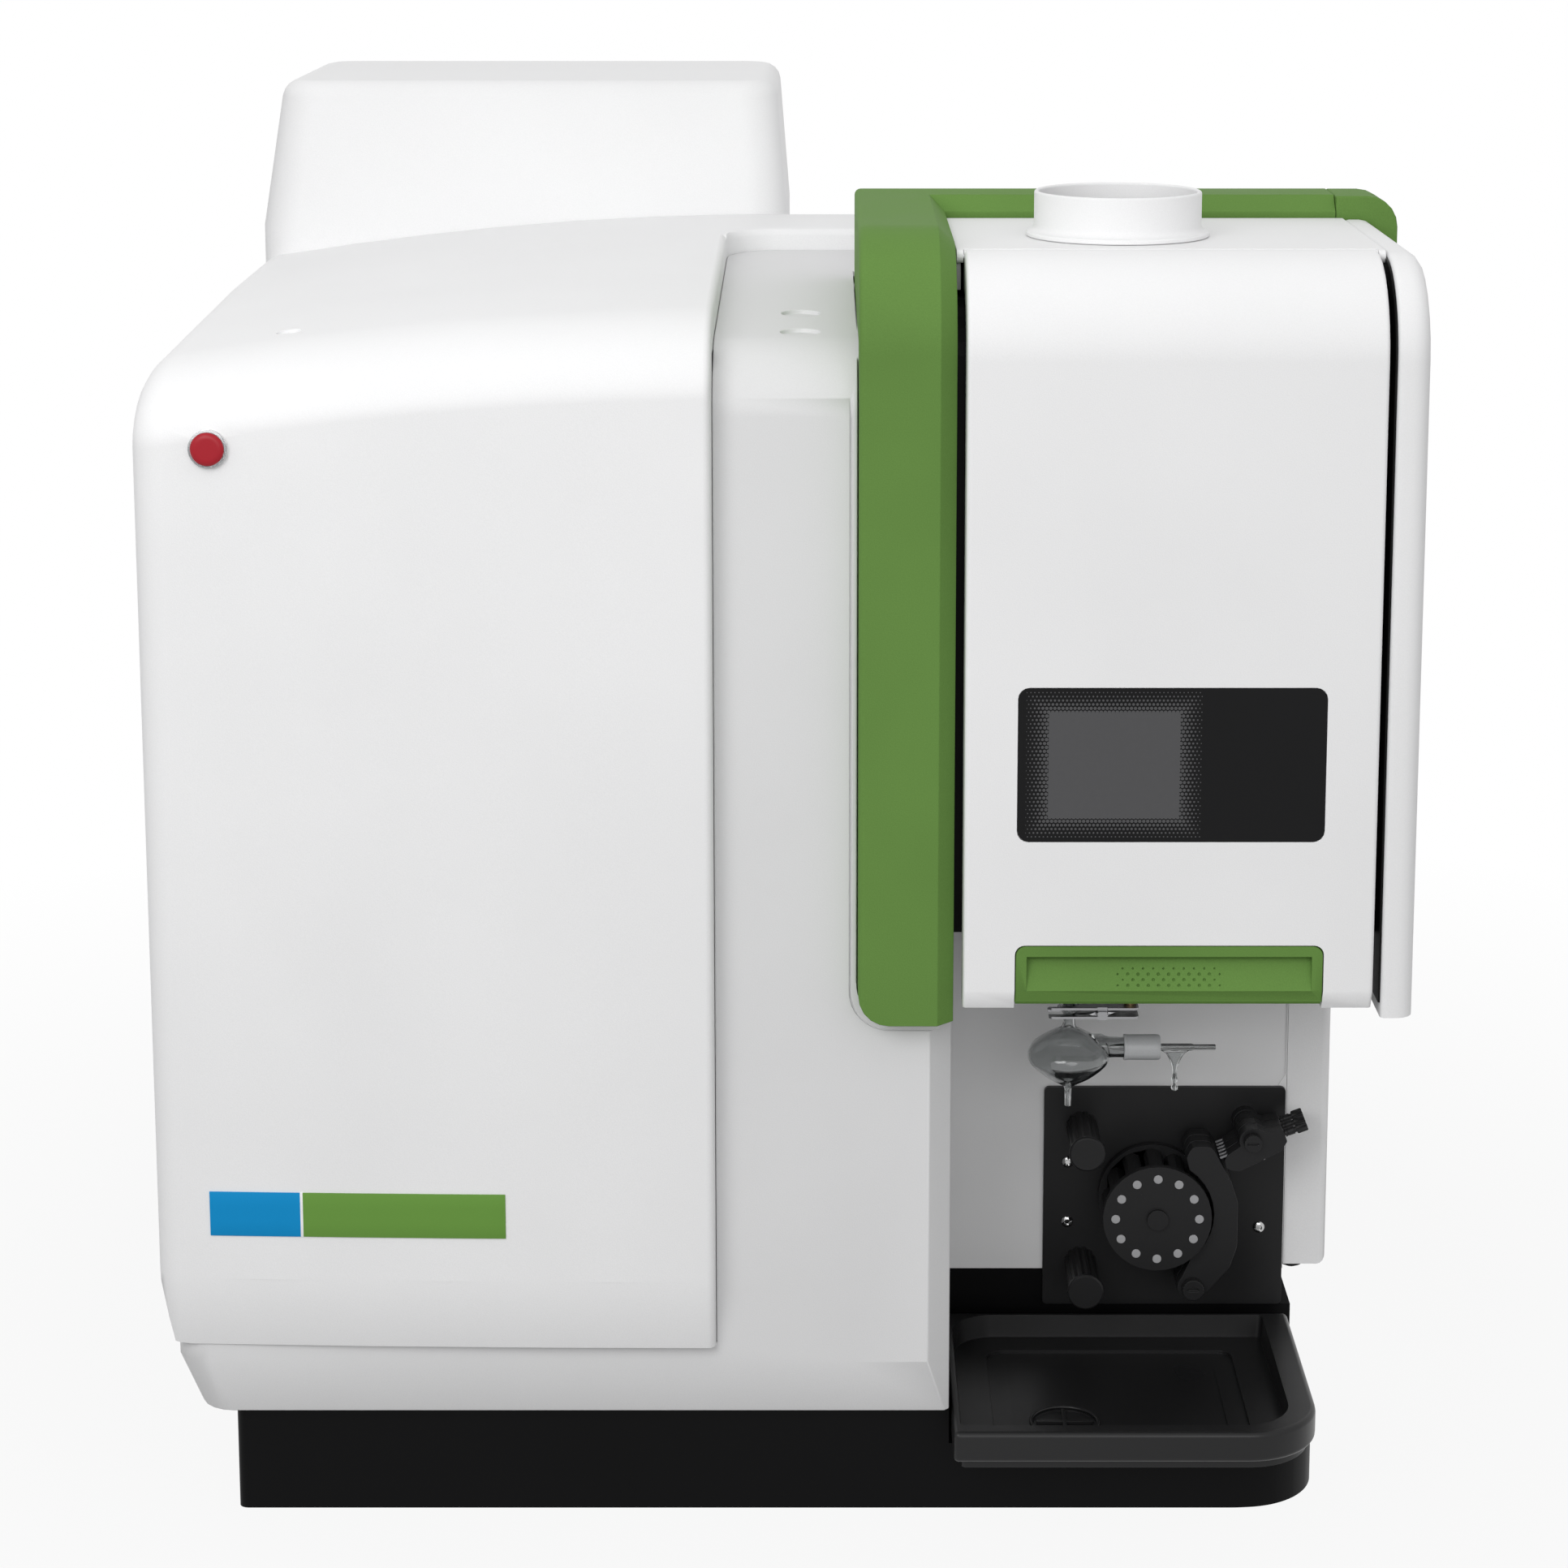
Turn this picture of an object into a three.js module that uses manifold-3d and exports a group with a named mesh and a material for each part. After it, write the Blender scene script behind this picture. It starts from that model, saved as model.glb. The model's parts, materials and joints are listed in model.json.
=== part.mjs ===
// A benchtop inductively coupled plasma spectrometer, in millimetres, +Z up, front towards -Y.
// The origin is on the bench, under the middle of the instrument.
// A size whose name ends in Set is measured back from the foremost plane of the instrument.

import * as THREE from "three";
import { mergeVertices } from "three/addons/utils/BufferGeometryUtils.js";
import Module from "manifold-3d";

// Widths, from the left side to the right side
const leftCoverWidth = 347;
const valleyWidth = 88.5;
const pillarWidth = 57.5;
const doorGap = 5.5;
const doorWidth = 249;
const sideCoverWidth = 20.5;
const bandProud = 15;

// Main depths and heights
const bodyDepth = 800;
const baySet = 200;
const housingSet = 296;
const seamHeight = 120;
const doorHeight = 458;
const doorBottomHeight = 343;

// Fits and walls
const seat = 0.3;
const turningGap = 0.3;
const coverWall = 4;
const sheetWall = 2;
const overrun = 30;

// Plinth and chassis
const plinthHeight = 69;
const plinthLeftInset = 42.5;
const bayRightInset = 65.5;
const plinthProud = 6.5;
const plinthFrontSet = 40;
const plinthRearInset = 14;
const plinthCornerRadius = 50;
const plinthEdgeRadius = 6;
const trayShelfHeight = 43.7;
const rimHeight = 94;
const rimWidth = 12;
const chassisThickness = 3;

// Left cover
const coverSweep = 8;
const coverTopHeight = 765;
const coverShoulderSet = 370;
const coverShoulderRise = 9;
const coverCrestSet = 508;
const coverCrestRise = 10;
const coverRearDrop = 30;
const coverCrown = 33;
const coverCrownReach = 29;
const coverRollDepth = 78;
const coverRollHeight = 46;
const coverCrease = 48;
const coverFootTaper = 12;
const coverSideTaper = 9;
const coverEdgeRadius = 20;
const coverStepRadius = 5;
const coverFlange = 32;
const coverLedge = 28;
const coverLedgeSet = 44;
const lipSet = 422;
const lipCornerRadius = 36;
const dimpleRadius = 8;
const dimpleDepth = 2.2;
const dimpleInset = 85;
const dimpleSet = 100;

// Front moulding
const valleySet = 20;
const valleyDrop = 18;
const valleyRearDrop = 6;
const valleyRollDepth = 50;
const valleyRollHeight = 42;
const skirtInset = 8.5;
const skirtCrease = 38;
const skirtFrontTaper = 12;
const skirtSideTaper = 12;
const skirtCornerRadius = 22;
const skirtLedge = 47;
const skirtLedgeSet = 50;
const mouldingChamferWidth = 14;
const mouldingChamferDepth = 15;
const valleyDimpleRadius = 12;
const valleyDimpleSet = 86;
const valleyDimplePitch = 69;
const valleyDimpleInset = 36;

// Green frame and side band
const frameDepth = 40;
const frameFootDrop = 5;
const frameRise = 14;
const frameRollRadius = 70;
const frameRailHeight = 67;
const frameChamfer = 10;
const frameEdgeRadius = 4;
const frameFootRadius = 19;
const pocketGap = 1.4;
const pocketDrop = 12;
const bandSet = 242;
const bandDepth = 51;
const bandHeight = 28;
const bandCornerRadius = 26;
const bandThickness = 26;

// Tower
const towerFrontSet = 505;
const towerRearSet = 783;
const towerLeftInset = 5;
const towerRightInset = 41;
const towerRise = 105;
const towerLean = 25;
const towerLeftTaper = 14;
const towerRightTaper = 8;
const towerRearTaper = 13;
const towerCornerRadius = 28;
const towerTopRadius = 12;
const towerFoot = 68;

// Rear housing, lower side panel and rear panel
const housingInset = 6.5;
const housingFrontRise = 1;
const housingShoulderSet = 400;
const housingShoulderDrop = 8;
const housingRearDrop = 66;
const housingEdgeRadius = 12;
const sidePanelInset = 1;
const sidePanelThickness = 28.7;
const sidePanelEdgeRadius = 6;
const bumperRadius = 7;
const bumperHeight = 3.4;
const rearPanelInset = 5;
const rearPanelThickness = 3;
const rearPanelTopGap = 8;
const ventWidth = 5;
const ventPitch = 12;
const ventHeight = 70;
const ventCount = 9;
const ventInset = 60;
const ventLift = 90;

// Right side cover
const sideCoverSet = 4;
const sideCoverFootDrop = 6;
const sideCoverRearSet = 239;
const sideCoverTopDrop = 1;
const sideCoverEdgeRadius = 14;
const sideCoverSeamRadius = 3;

// Torch door, its window and its handle
const doorRollRadius = 60;
const doorDepth = 24;
const doorChamferHeight = 12;
const doorChamferDepth = 6;
const doorEdgeRadius = 2.5;
const hingeRadius = 4;
const hingePinRadius = 1.8;
const hingeGap = 0.5;
const windowWidth = 185;
const windowHeight = 95;
const windowInset = 32;
const windowLift = 106.3;
const windowCornerRadius = 7;
const windowLedge = 5;
const windowThickness = 2;
const handleWidth = 186;
const handleHeight = 38;
const handleInset = 32;
const handleLift = 2.5;
const handleDepth = 22;
const handleCornerRadius = 6;
const handleGap = 0.7;
const handleBorder = 6.5;
const handleScoop = 6;
const handleScoopWall = 4.5;
const handleLip = 10;
const handleLipBevel = 6;
const handleFlange = 5;
const handleFlangeThickness = 3;

// Top cover and exhaust collar
const topCoverSet = 64.5;
const topCoverWall = 3;
const topCoverSkirt = 25;
const topCoverRightGap = 1;
const lugWidth = 4.2;
const collarSet = 137;
const collarInset = 150.5;
const collarRadius = 52;
const collarBaseRadius = 57;
const collarFootHeight = 3;
const collarFillet = 3;
const collarHeight = 28;
const collarWall = 3;
const collarSpigot = 6.5;
const collarBead = 2;

// Torch compartment
const boxFrontSet = 28;
const boxRearSet = 235;
const boxFloorRise = 41;
const boxSideInset = 0.5;
const boxRollRadius = 32;
const boxLipSet = 66;
const boxWall = 3;
const boxFlangeThickness = 3;
const boxFlangeGap = 0.5;
const ceilingSet = 36;

// Torch and glassware
const torchInset = 71.5;
const torchSet = 100;
const chamberDrop = 104;
const chamberRadius = 26;
const chamberRise = 20;
const glassWall = 1.2;
const neckRadius = 4.2;
const neckLength = 3;
const drainRadius = 2.4;
const drainLength = 14;
const ballRadius = 5.2;
const ballRise = 27.5;
const socketGap = 0.3;
const socketWall = 1.3;
const sideTubeRise = 5.2;
const sideTubeRadius = 6.5;
const sideTubeReach = 40;
const endCapRadius = 8.2;
const endCapLength = 23.3;
const endCapSleeve = 5;
const endCapChamfer = 2;
const nebulizerRadius = 2.3;
const nebulizerLength = 44;
const nebulizerShoulder = 1.2;
const nebulizerTipRadius = 1.3;
const nebulizerTipLength = 13.5;
const nebulizerSink = 16;
const nebulizerArmSetback = 11;
const nebulizerArmDrop = 29;
const nebulizerArmRadius = 1.6;
const nebulizerFunnelRadius = 4;
const nebulizerBarbRadius = 2.4;
const clampThickness = 1.4;
const clampWidth = 20;
const clampReach = 13;
const clampPivotReach = 21;
const clampTail = 44;
const clampPinRadius = 1.5;
const clampKnuckleRadius = 3;
const clampScrewRadius = 2;
const clampScrewHeadRadius = 4;
const clampScrewHeadLength = 3;
const clampScrewInset = 5;
const clampScrewClearance = 4.6;
const mountRadius = 21;
const mountFlangeRadius = 27;
const mountFlangeThickness = 4;
const mountDrop = 32;
const mountRise = 30;
const mountSocketDepth = 20;
const torchRadius = 10;
const torchLength = 131;
const injectorRadius = 3.5;
const injectorBore = 2.3;
const injectorLength = 125;
const coilRise = 106.5;
const coilPitch = 14;
const coilThickness = 3;
const coilWidth = 52;
const coilBore = 12.5;
const coilSlot = 3;
const coilFrontReach = 20;
const snoutRadius = 17;
const snoutTipRadius = 7;
const snoutBore = 4;
const snoutFlangeRadius = 21;
const snoutFlangeThickness = 3;
const snoutTipClearance = 30;

// Drip tray
const trayGap = 1.5;
const trayRightGap = 4;
const trayDepth = 186;
const trayHeight = 23;
const trayFloor = 5;
const trayRim = 11;
const trayDraft = 2;
const trayCornerRadius = 46;
const trayEdgeRadius = 6;
const trayBevel = 2.5;
const trayGrooveWidth = 2.4;
const trayGrooveDepth = 1.2;
const trayGrooveInset = 22;
const trayGroovePitch = 14;
const drainRingRadius = 22.5;
const drainRingWidth = 2.5;
const drainRingRise = 1.2;
const drainBowlRadius = 17;
const drainBowlDepth = 2;
const drainCrossWidth = 3;
const drainInset = 69.5;
const drainSet = 66;

// Pump
const pumpPlateThickness = 3.7;
const pumpPlateWidth = 161;
const pumpPlateHeight = 153;
const pumpPlateBottomHeight = 70.5;
const pumpPlateRadius = 3;
const drumInset = 89;
const drumLift = 80;
const drumRadius = 35.8;
const drumStart = 3;
const drumLength = 46;
const drumFlange = 5;
const drumCoreRadius = 20;
const drumHubRadius = 7;
const drumHubProud = 3;
const rollerRadius = 6.2;
const rollerRingRadius = 27.5;
const rollerCount = 12;
const rollerAxleRadius = 2.6;
const rollerAxleProud = 0.6;
const pumpShaftRadius = 5;
const pumpShaftReach = 22;
const motorRadius = 30;
const motorLength = 80;
const motorCapRadius = 25;
const motorCapLength = 15;
const armCount = 3;
const armGap = 1;
const armSideGap = 1.2;
const armBossRadius = 10;
const trackGap = 4;
const pivotRadius = 3.6;
const pivotSink = 3.2;
const pivotHeadLength = 5;
const armHeadRadius = 7.3;
const leverHeadRadius = 6;
const spacerRadius = 9;
const pivotSlotWidth = 1.4;
const pivotSlotDepth = 1.2;
const knurlCount = 20;
const knurlDepth = 0.5;
const leverBossRadius = 8.5;
const knobTilt = 21;
const knobGap = 0.5;
const knobStudRadius = 1.6;
const knobStudLength = 8;
const knobShankRadius = 2.7;
const knobShankLength = 6.5;
const knobNeckRadius = 2.1;
const knobNeckLength = 1.4;
const knobHeadRadius = 3.3;
const knobHeadLength = 7.5;
const knobHeadBevel = 0.7;
const postRadius = 10.5;
const postLength = 50;
const postFluteCount = 12;
const postFluteDepth = 1.1;
const postCapRadius = 12;
const postCapLength = 3;
const postCapBevel = 1;

// Pump layout in shares of the drum radius, across and up from the drum's axis.
// A third value is the share that rounds the corner.
const armPivotShare = [0.684, -1.397];
const leverPivotShare = [1.732, 1.439];
const upperPostShare = [-1.31, 1.285];
const lowerPostShare = [-1.31, -1.383];
const armOuterShares = [
  [1.36, -1.02, 0.3],
  [1.495, -0.6, 0.3],
  [1.495, 0.25, 0.4],
  [1.36, 0.66, 0.2],
  [1.0, 1.33, 0.15],
  [0.62, 1.33, 0.15],
  [0.53, 1.1, 0.05],
];
const armFootShares = [
  [0.42, -1.34, 0],
  [0.865, -1.606, 0],
];
const trackStartDegrees = 56;
const trackEndDegrees = -52;
// Lever outline in the same shares, across and up from the lever's pivot
const leverOuterShares = [
  [-0.464, -0.528, 0.02],
  [-0.36, -0.575, 0.06],
  [-0.22, -0.59, 0.08],
  [0.54, -0.19, 0.06],
  [0.643, -0.009, 0.03],
  [0.559, 0.21, 0.03],
  [0.25, 0.15, 0.1],
  [0.1, 0.24, 0.05],
  [-0.12, 0.2, 0.05],
  [-0.2, -0.1, 0.1],
  [-0.44, -0.27, 0.05],
  [-0.5, -0.385, 0.02],
];
const knobStartShare = [0.601, 0.1005];

// Belly of the spray chamber in shares of its radius and of its rise from the middle
const chamberShares = [
  [0.45, -0.85],
  [0.87, -0.42],
  [1, 0],
  [0.9, 0.5],
  [0.6, 0.85],
];

// Side of the bumper in shares of its radius and height
const bumperShares = [
  [0.5, 0.9],
  [1, 0.4],
];

// Standby button
const buttonInset = 49;
const buttonDrop = 76;
const buttonRadius = 10;
const buttonFaceRadius = 8.75;
const buttonThickness = 2;
const buttonProud = 6;
const buttonSideGap = 0.3;
const bezelRadius = 11.5;
const bezelProud = 4.6;
const bezelStandoff = 0.8;
const bezelWeb = 0.9;
const barrelRadius = 8.5;
const barrelLength = 12;
const stemRadius = 3;
const stemLength = 9;

// Optics tank, generator, supply and detector
const tankInset = 53;
const tankWidth = 250;
const tankSet = 70;
const tankDepth = 690;
const tankTopDrop = 124.7;
const riserSet = 536;
const riserDrop = 38;
const detectorWidth = 80;
const detectorDepth = 90;
const detectorHeight = 90;
const detectorSet = 200;
const detectorBottomHeight = 300;
const generatorInset = 30;
const generatorWidth = 230;
const generatorSet = 330;
const generatorDepth = 200;
const generatorTopDrop = 200.7;
const supplySet = 560;
const supplyDepth = 190;
const supplyTopHeight = 310.6;

// Fan, inlet and switch
const fanInset = 180;
const fanDrop = 281;
const fanSize = 120;
const fanDepth = 25;
const fanRimWall = 3.5;
const fanCornerRadius = 6;
const fanBossRadius = 19;
const fanBossDepth = 6;
const fanStrutWidth = 5;
const fanHubRadius = 20;
const fanHubDepth = 15;
const fanAxleRadius = 2.5;
const fanAxleLength = 10;
const fanTipGap = 1.5;
const fanBladeCount = 7;
const fanBladeThickness = 2;
const fanBladeWidth = 17;
const fanBladePitch = 35;
const fanEndGap = 0.6;
const grilleBarWidth = 3;
const grillePitch = 11;
const inletInset = 80;
const inletBottomHeight = 180;
const inletWidth = 28;
const inletHeight = 52;
const inletDepth = 24;
const inletFlange = 4;
const inletFlangeThickness = 2;
const inletWall = 3;
const socketHeight = 18;
const socketDepth = 18;
const prongWidth = 2;
const prongHeight = 4;
const prongLength = 14;
const prongPitch = 7;
const rockerHeight = 19;
const rockerDepth = 9;
const rockerValley = 1.6;
const rockerTilt = 9;
const rockerPinRadius = 1.4;
const rockerGap = 0.4;

// Places worked out from the sizes above
const sideCoverSpan = sideCoverWidth + bandProud;
const bodyWidth = leftCoverWidth + valleyWidth + pillarWidth + doorWidth + 2 * doorGap + sideCoverSpan;
const leftX = -bodyWidth / 2;
const stepX = leftX + leftCoverWidth;
const pillarX = stepX + valleyWidth;
const pillarRightX = pillarX + pillarWidth;
const doorX = pillarRightX + doorGap;
const doorRightX = doorX + doorWidth;
const sideCoverX = doorRightX + doorGap;
const sideCoverRightX = sideCoverX + sideCoverWidth;
const rightX = sideCoverRightX + bandProud;
const housingX = pillarX + housingInset;
const frontY = -bodyDepth / 2;
const rearY = bodyDepth / 2;
const bayX = pillarRightX + seat;
const bayY = frontY + baySet;
const housingY = frontY + housingSet;
const plinthX = leftX + plinthLeftInset;
const bayRightX = rightX - bayRightInset;
const plinthRightX = bayRightX + plinthProud;
const plinthY = frontY + plinthFrontSet;
const plinthRearY = rearY - plinthRearInset;
const skirtBottomHeight = plinthHeight + seat;
const skirtTopHeight = seamHeight - seat;
const chassisTopHeight = skirtBottomHeight + chassisThickness;
const doorTopHeight = doorBottomHeight + doorHeight;
const frameTopHeight = doorTopHeight + frameRise;
const frameBottomHeight = doorBottomHeight - frameFootDrop;
const housingFrontHeight = doorTopHeight + housingFrontRise;
const housingShoulderHeight = doorTopHeight - housingShoulderDrop;
const housingRearHeight = doorTopHeight - housingRearDrop;
const sideCoverBottomHeight = doorBottomHeight - sideCoverFootDrop;
const valleyTopHeight = coverTopHeight - valleyDrop;
const valleyRearHeight = coverTopHeight - valleyRearDrop;
const towerTopHeight = coverTopHeight + towerRise;
const buttonHeight = coverTopHeight - buttonDrop;
const tankTopHeight = coverTopHeight - tankTopDrop;
const riserTopHeight = towerTopHeight - riserDrop;
const boxFloorHeight = doorBottomHeight + boxFloorRise;
const chamberHeight = boxFloorHeight - chamberDrop;
const coilHeight = boxFloorHeight + coilRise;
const generatorTopHeight = doorTopHeight - generatorTopDrop;
const slotDegrees = Math.asin(coilSlot / 2 / coilBore) * THREE.MathUtils.RAD2DEG;
const fanHeight = doorTopHeight - fanDrop;
const hingeY = frontY + doorRollRadius;
const hingeHeight = doorTopHeight - hingeRadius;
const torchX = doorX + torchInset;
const torchY = frontY + torchSet;
const sidePanelX = bayRightX + sidePanelInset;
const sidePanelRightX = sidePanelX + sidePanelThickness;
const rearPanelY = rearY - rearPanelInset - rearPanelThickness;

// Materials
const finish = (colour, roughness, metalness = 0) =>
  new THREE.MeshStandardMaterial({ color: colour, roughness, metalness });
const whitePlastic = finish(0xe9eaec, 0.6);
const whiteSheet = finish(0xdcdde0, 0.5);
const greenPlastic = finish(0x6c9a4b, 0.55);
const blackPlastic = finish(0x1d1d1e, 0.5);
const blackGloss = finish(0x0c0d0e, 0.12);
const blackSheet = finish(0x151516, 0.7);
const redPlastic = finish(0xb02c38, 0.35);
const clearPlastic = finish(0xd8dde0, 0.15);
const softRubber = finish(0x111111, 0.9);
const steel = finish(0xb8bcc0, 0.3, 1);
const aluminium = finish(0xc6c9cc, 0.4, 1);
const glass = finish(0xdfe6e8, 0.05);
const frostedPlastic = finish(0xaeb1b3, 0.6);
const ceramic = finish(0xf0efe9, 0.7);

const wasm = await Module();
wasm.setup();

// Shape helpers

// A closed three.js geometry as a solid that can be joined and cut.
function solidOf(geometry) {
  geometry.deleteAttribute("normal");
  geometry.deleteAttribute("uv");
  const merged = mergeVertices(geometry);
  const vertices = merged.attributes.position.array;
  const corners = merged.index.array;
  const triangles = [];
  const [a, b, c] = [new THREE.Vector3(), new THREE.Vector3(), new THREE.Vector3()];
  let sixVolumes = 0;
  for (let i = 0; i < corners.length; i += 3) {
    const [p, q, r] = corners.slice(i, i + 3);
    if (p === q || q === r || r === p) continue;
    triangles.push(p, q, r);
    a.fromArray(vertices, 3 * p);
    b.fromArray(vertices, 3 * q);
    c.fromArray(vertices, 3 * r);
    sixVolumes += a.dot(b.cross(c));
  }
  if (sixVolumes < 0) triangles.reverse();
  const triVerts = new Uint32Array(triangles);
  return new wasm.Manifold(new wasm.Mesh({ numProp: 3, vertProperties: vertices, triVerts }));
}

function geometryOf(solid) {
  const { vertProperties, triVerts } = solid.getMesh();
  const geometry = new THREE.BufferGeometry();
  geometry.setAttribute("position", new THREE.BufferAttribute(vertProperties, 3));
  geometry.setIndex(new THREE.BufferAttribute(triVerts, 1));
  geometry.computeVertexNormals();
  return geometry;
}

const joined = (...solids) => solids.reduce((whole, next) => whole.add(next));
const cut = (solid, ...tools) => tools.reduce((rest, tool) => rest.subtract(tool), solid);

// The directions of an outline's two axes and of the extrusion itself.
const axesOf = {
  xy: [new THREE.Vector3(1, 0, 0), new THREE.Vector3(0, 1, 0), new THREE.Vector3(0, 0, 1)],
  xz: [new THREE.Vector3(1, 0, 0), new THREE.Vector3(0, 0, 1), new THREE.Vector3(0, -1, 0)],
  yz: [new THREE.Vector3(0, 1, 0), new THREE.Vector3(0, 0, 1), new THREE.Vector3(1, 0, 0)],
};

// An outline in plane xy, xz or yz, extruded between two places on the remaining axis.
function prism(outline, plane, from, to, hole) {
  const pointsOf = (list) => list.map(([u, v]) => new THREE.Vector2(u, v));
  const shape = new THREE.Shape(pointsOf(outline));
  if (hole) shape.holes.push(new THREE.Path(pointsOf(hole)));
  const geometry = new THREE.ExtrudeGeometry(shape, { depth: to - from, bevelEnabled: false });
  geometry.applyMatrix4(new THREE.Matrix4().makeBasis(...axesOf[plane]));
  if (plane === "xy") geometry.translate(0, 0, from);
  if (plane === "xz") geometry.translate(0, to, 0);
  if (plane === "yz") geometry.translate(from, 0, 0);
  return solidOf(geometry);
}

function box(x0, x1, y0, y1, z0, z1) {
  const geometry = new THREE.BoxGeometry(x1 - x0, y1 - y0, z1 - z0);
  geometry.translate((x0 + x1) / 2, (y0 + y1) / 2, (z0 + z1) / 2);
  return solidOf(geometry);
}

// A closed profile of [radius, place] points turned about axis x, y or z through a point.
// The tilt lifts an x axis towards +Z.
function revolved(axis, profile, centre, sides = 20, tilt = 0) {
  const points = [...profile, profile[0]].map(([r, place]) => new THREE.Vector2(r, place));
  const geometry = new THREE.LatheGeometry(points, sides);
  if (axis === "x") geometry.rotateZ(-Math.PI / 2).rotateY(-THREE.MathUtils.degToRad(tilt));
  if (axis === "z") geometry.rotateX(Math.PI / 2);
  geometry.translate(...centre);
  return solidOf(geometry);
}

// A round bar between two places along an axis, through a point on it.
function bar(axis, centre, from, to, radius, sides = 20) {
  return revolved(axis, [[0, from], [radius, from], [radius, to], [0, to]], centre, sides);
}

// An outline whose corners [u, v, radius] are rounded by arcs.
function rounded(corners, steps = 5) {
  return corners.flatMap(([u, v, radius], i) => {
    if (!radius) return [[u, v]];
    const corner = new THREE.Vector2(u, v);
    const [beforeU, beforeV] = corners[(i + corners.length - 1) % corners.length];
    const [afterU, afterV] = corners[(i + 1) % corners.length];
    const before = new THREE.Vector2(beforeU, beforeV).sub(corner);
    const after = new THREE.Vector2(afterU, afterV).sub(corner);
    const halfAngle = before.angleTo(after) / 2;
    const shortest = Math.min(before.length(), after.length());
    const reach = Math.min(radius / Math.tan(halfAngle), shortest / 2);
    const [towardsBefore, towardsAfter] = [before.normalize(), after.normalize()];
    const between = towardsBefore.clone().add(towardsAfter);
    const centre = between.setLength(reach / Math.cos(halfAngle)).add(corner);
    const start = corner.clone().addScaledVector(towardsBefore, reach).sub(centre);
    const end = corner.clone().addScaledVector(towardsAfter, reach).sub(centre);
    const sweep = Math.atan2(start.cross(end), start.dot(end));
    return Array.from({ length: steps + 1 }, (unused, k) => {
      const spoke = start.clone().rotateAround(new THREE.Vector2(), (sweep * k) / steps);
      return [centre.x + spoke.x, centre.y + spoke.y];
    });
  });
}

function rectangle(u0, u1, v0, v1, radius = 0, steps = 4) {
  return rounded([[u0, v0, radius], [u1, v0, radius], [u1, v1, radius], [u0, v1, radius]], steps);
}

// Points round part of a circle, between two angles in degrees.
function arc(u, v, radius, fromDegrees, toDegrees, steps) {
  return Array.from({ length: steps + 1 }, (unused, k) => {
    const angle = THREE.MathUtils.degToRad(fromDegrees + ((toDegrees - fromDegrees) * k) / steps);
    return [u + radius * Math.cos(angle), v + radius * Math.sin(angle)];
  });
}

// A quarter of an ellipse from a front face round to a top face, as [y, z] points.
function roll(y, z, depth, height, steps = 6) {
  return Array.from({ length: steps + 1 }, (unused, k) => {
    const turn = (Math.PI / 2) * (k / steps);
    return [y + depth * (1 - Math.cos(turn)), z - height * (1 - Math.sin(turn))];
  });
}

// Places along a sweep with two rounded end edges, each with the inset of its section.
function stations(from, to, startRadius, endRadius, spans = 1, steps = 4) {
  const turns = Array.from({ length: steps }, (unused, k) => (Math.PI / 2) * (k / steps));
  const edge = (radius, direction, end) =>
    turns.map((turn) => [end + direction * radius * (1 - Math.cos(turn)), radius * (1 - Math.sin(turn))]);
  const [start, stop] = [from + startRadius, to - endRadius];
  const middle = Array.from({ length: spans + 1 }, (unused, k) => [start + ((stop - start) * k) / spans, 0]);
  return [
    ...(startRadius ? edge(startRadius, 1, from) : []),
    ...middle,
    ...(endRadius ? edge(endRadius, -1, to).reverse() : []),
  ];
}

// A solid through closed rings of equally many points, capped at both ends.
function lofted(rings) {
  const size = rings[0].length;
  const last = rings.length - 1;
  const index = [];
  for (let ring = 0; ring < last; ring += 1) {
    for (let k = 0; k < size; k += 1) {
      const [a, b] = [ring * size + k, ring * size + ((k + 1) % size)];
      index.push(a, b, b + size, a, b + size, a + size);
    }
  }
  const middle = rings.length * size;
  for (let k = 0; k < size; k += 1) {
    const next = (k + 1) % size;
    index.push(middle, next, k, middle + 1, last * size + k, last * size + next);
  }
  const middleOf = (ring) => [0, 1, 2].map((axis) => ring.reduce((sum, point) => sum + point[axis], 0) / size);
  const points = [...rings.flat(), middleOf(rings[0]), middleOf(rings[last])];
  const geometry = new THREE.BufferGeometry();
  geometry.setAttribute("position", new THREE.Float32BufferAttribute(points.flat(), 3));
  geometry.setIndex(index);
  return solidOf(geometry);
}

// Sweeps a section [y, z] along X, or a section [x, y] along Z.
const sweptX = (places, ringOf) =>
  lofted(places.map(([x, inset]) => ringOf(x, inset).map(([y, z]) => [x, y, z])));
const sweptZ = (places, ringOf) =>
  lofted(places.map(([z, inset]) => ringOf(z, inset).map(([x, y]) => [x, y, z])));

// A sheet-metal box that is open below.
function openBox(x0, x1, y0, y1, z0, z1) {
  const inside = box(
    x0 + sheetWall, x1 - sheetWall, y0 + sheetWall, y1 - sheetWall, z0 - overrun, z1 - sheetWall,
  );
  return cut(box(x0, x1, y0, y1, z0, z1), inside);
}

// Scene graph helpers

const instrument = new THREE.Group();

function groupAt(x, y, z) {
  const group = new THREE.Group();
  group.position.set(x, y, z);
  instrument.add(group);
  return group;
}

function addPiece(parent, name, solid, material) {
  const mesh = new THREE.Mesh(geometryOf(solid), material.clone());
  mesh.name = name;
  parent.add(mesh);
}

// Plinth and chassis

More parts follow.
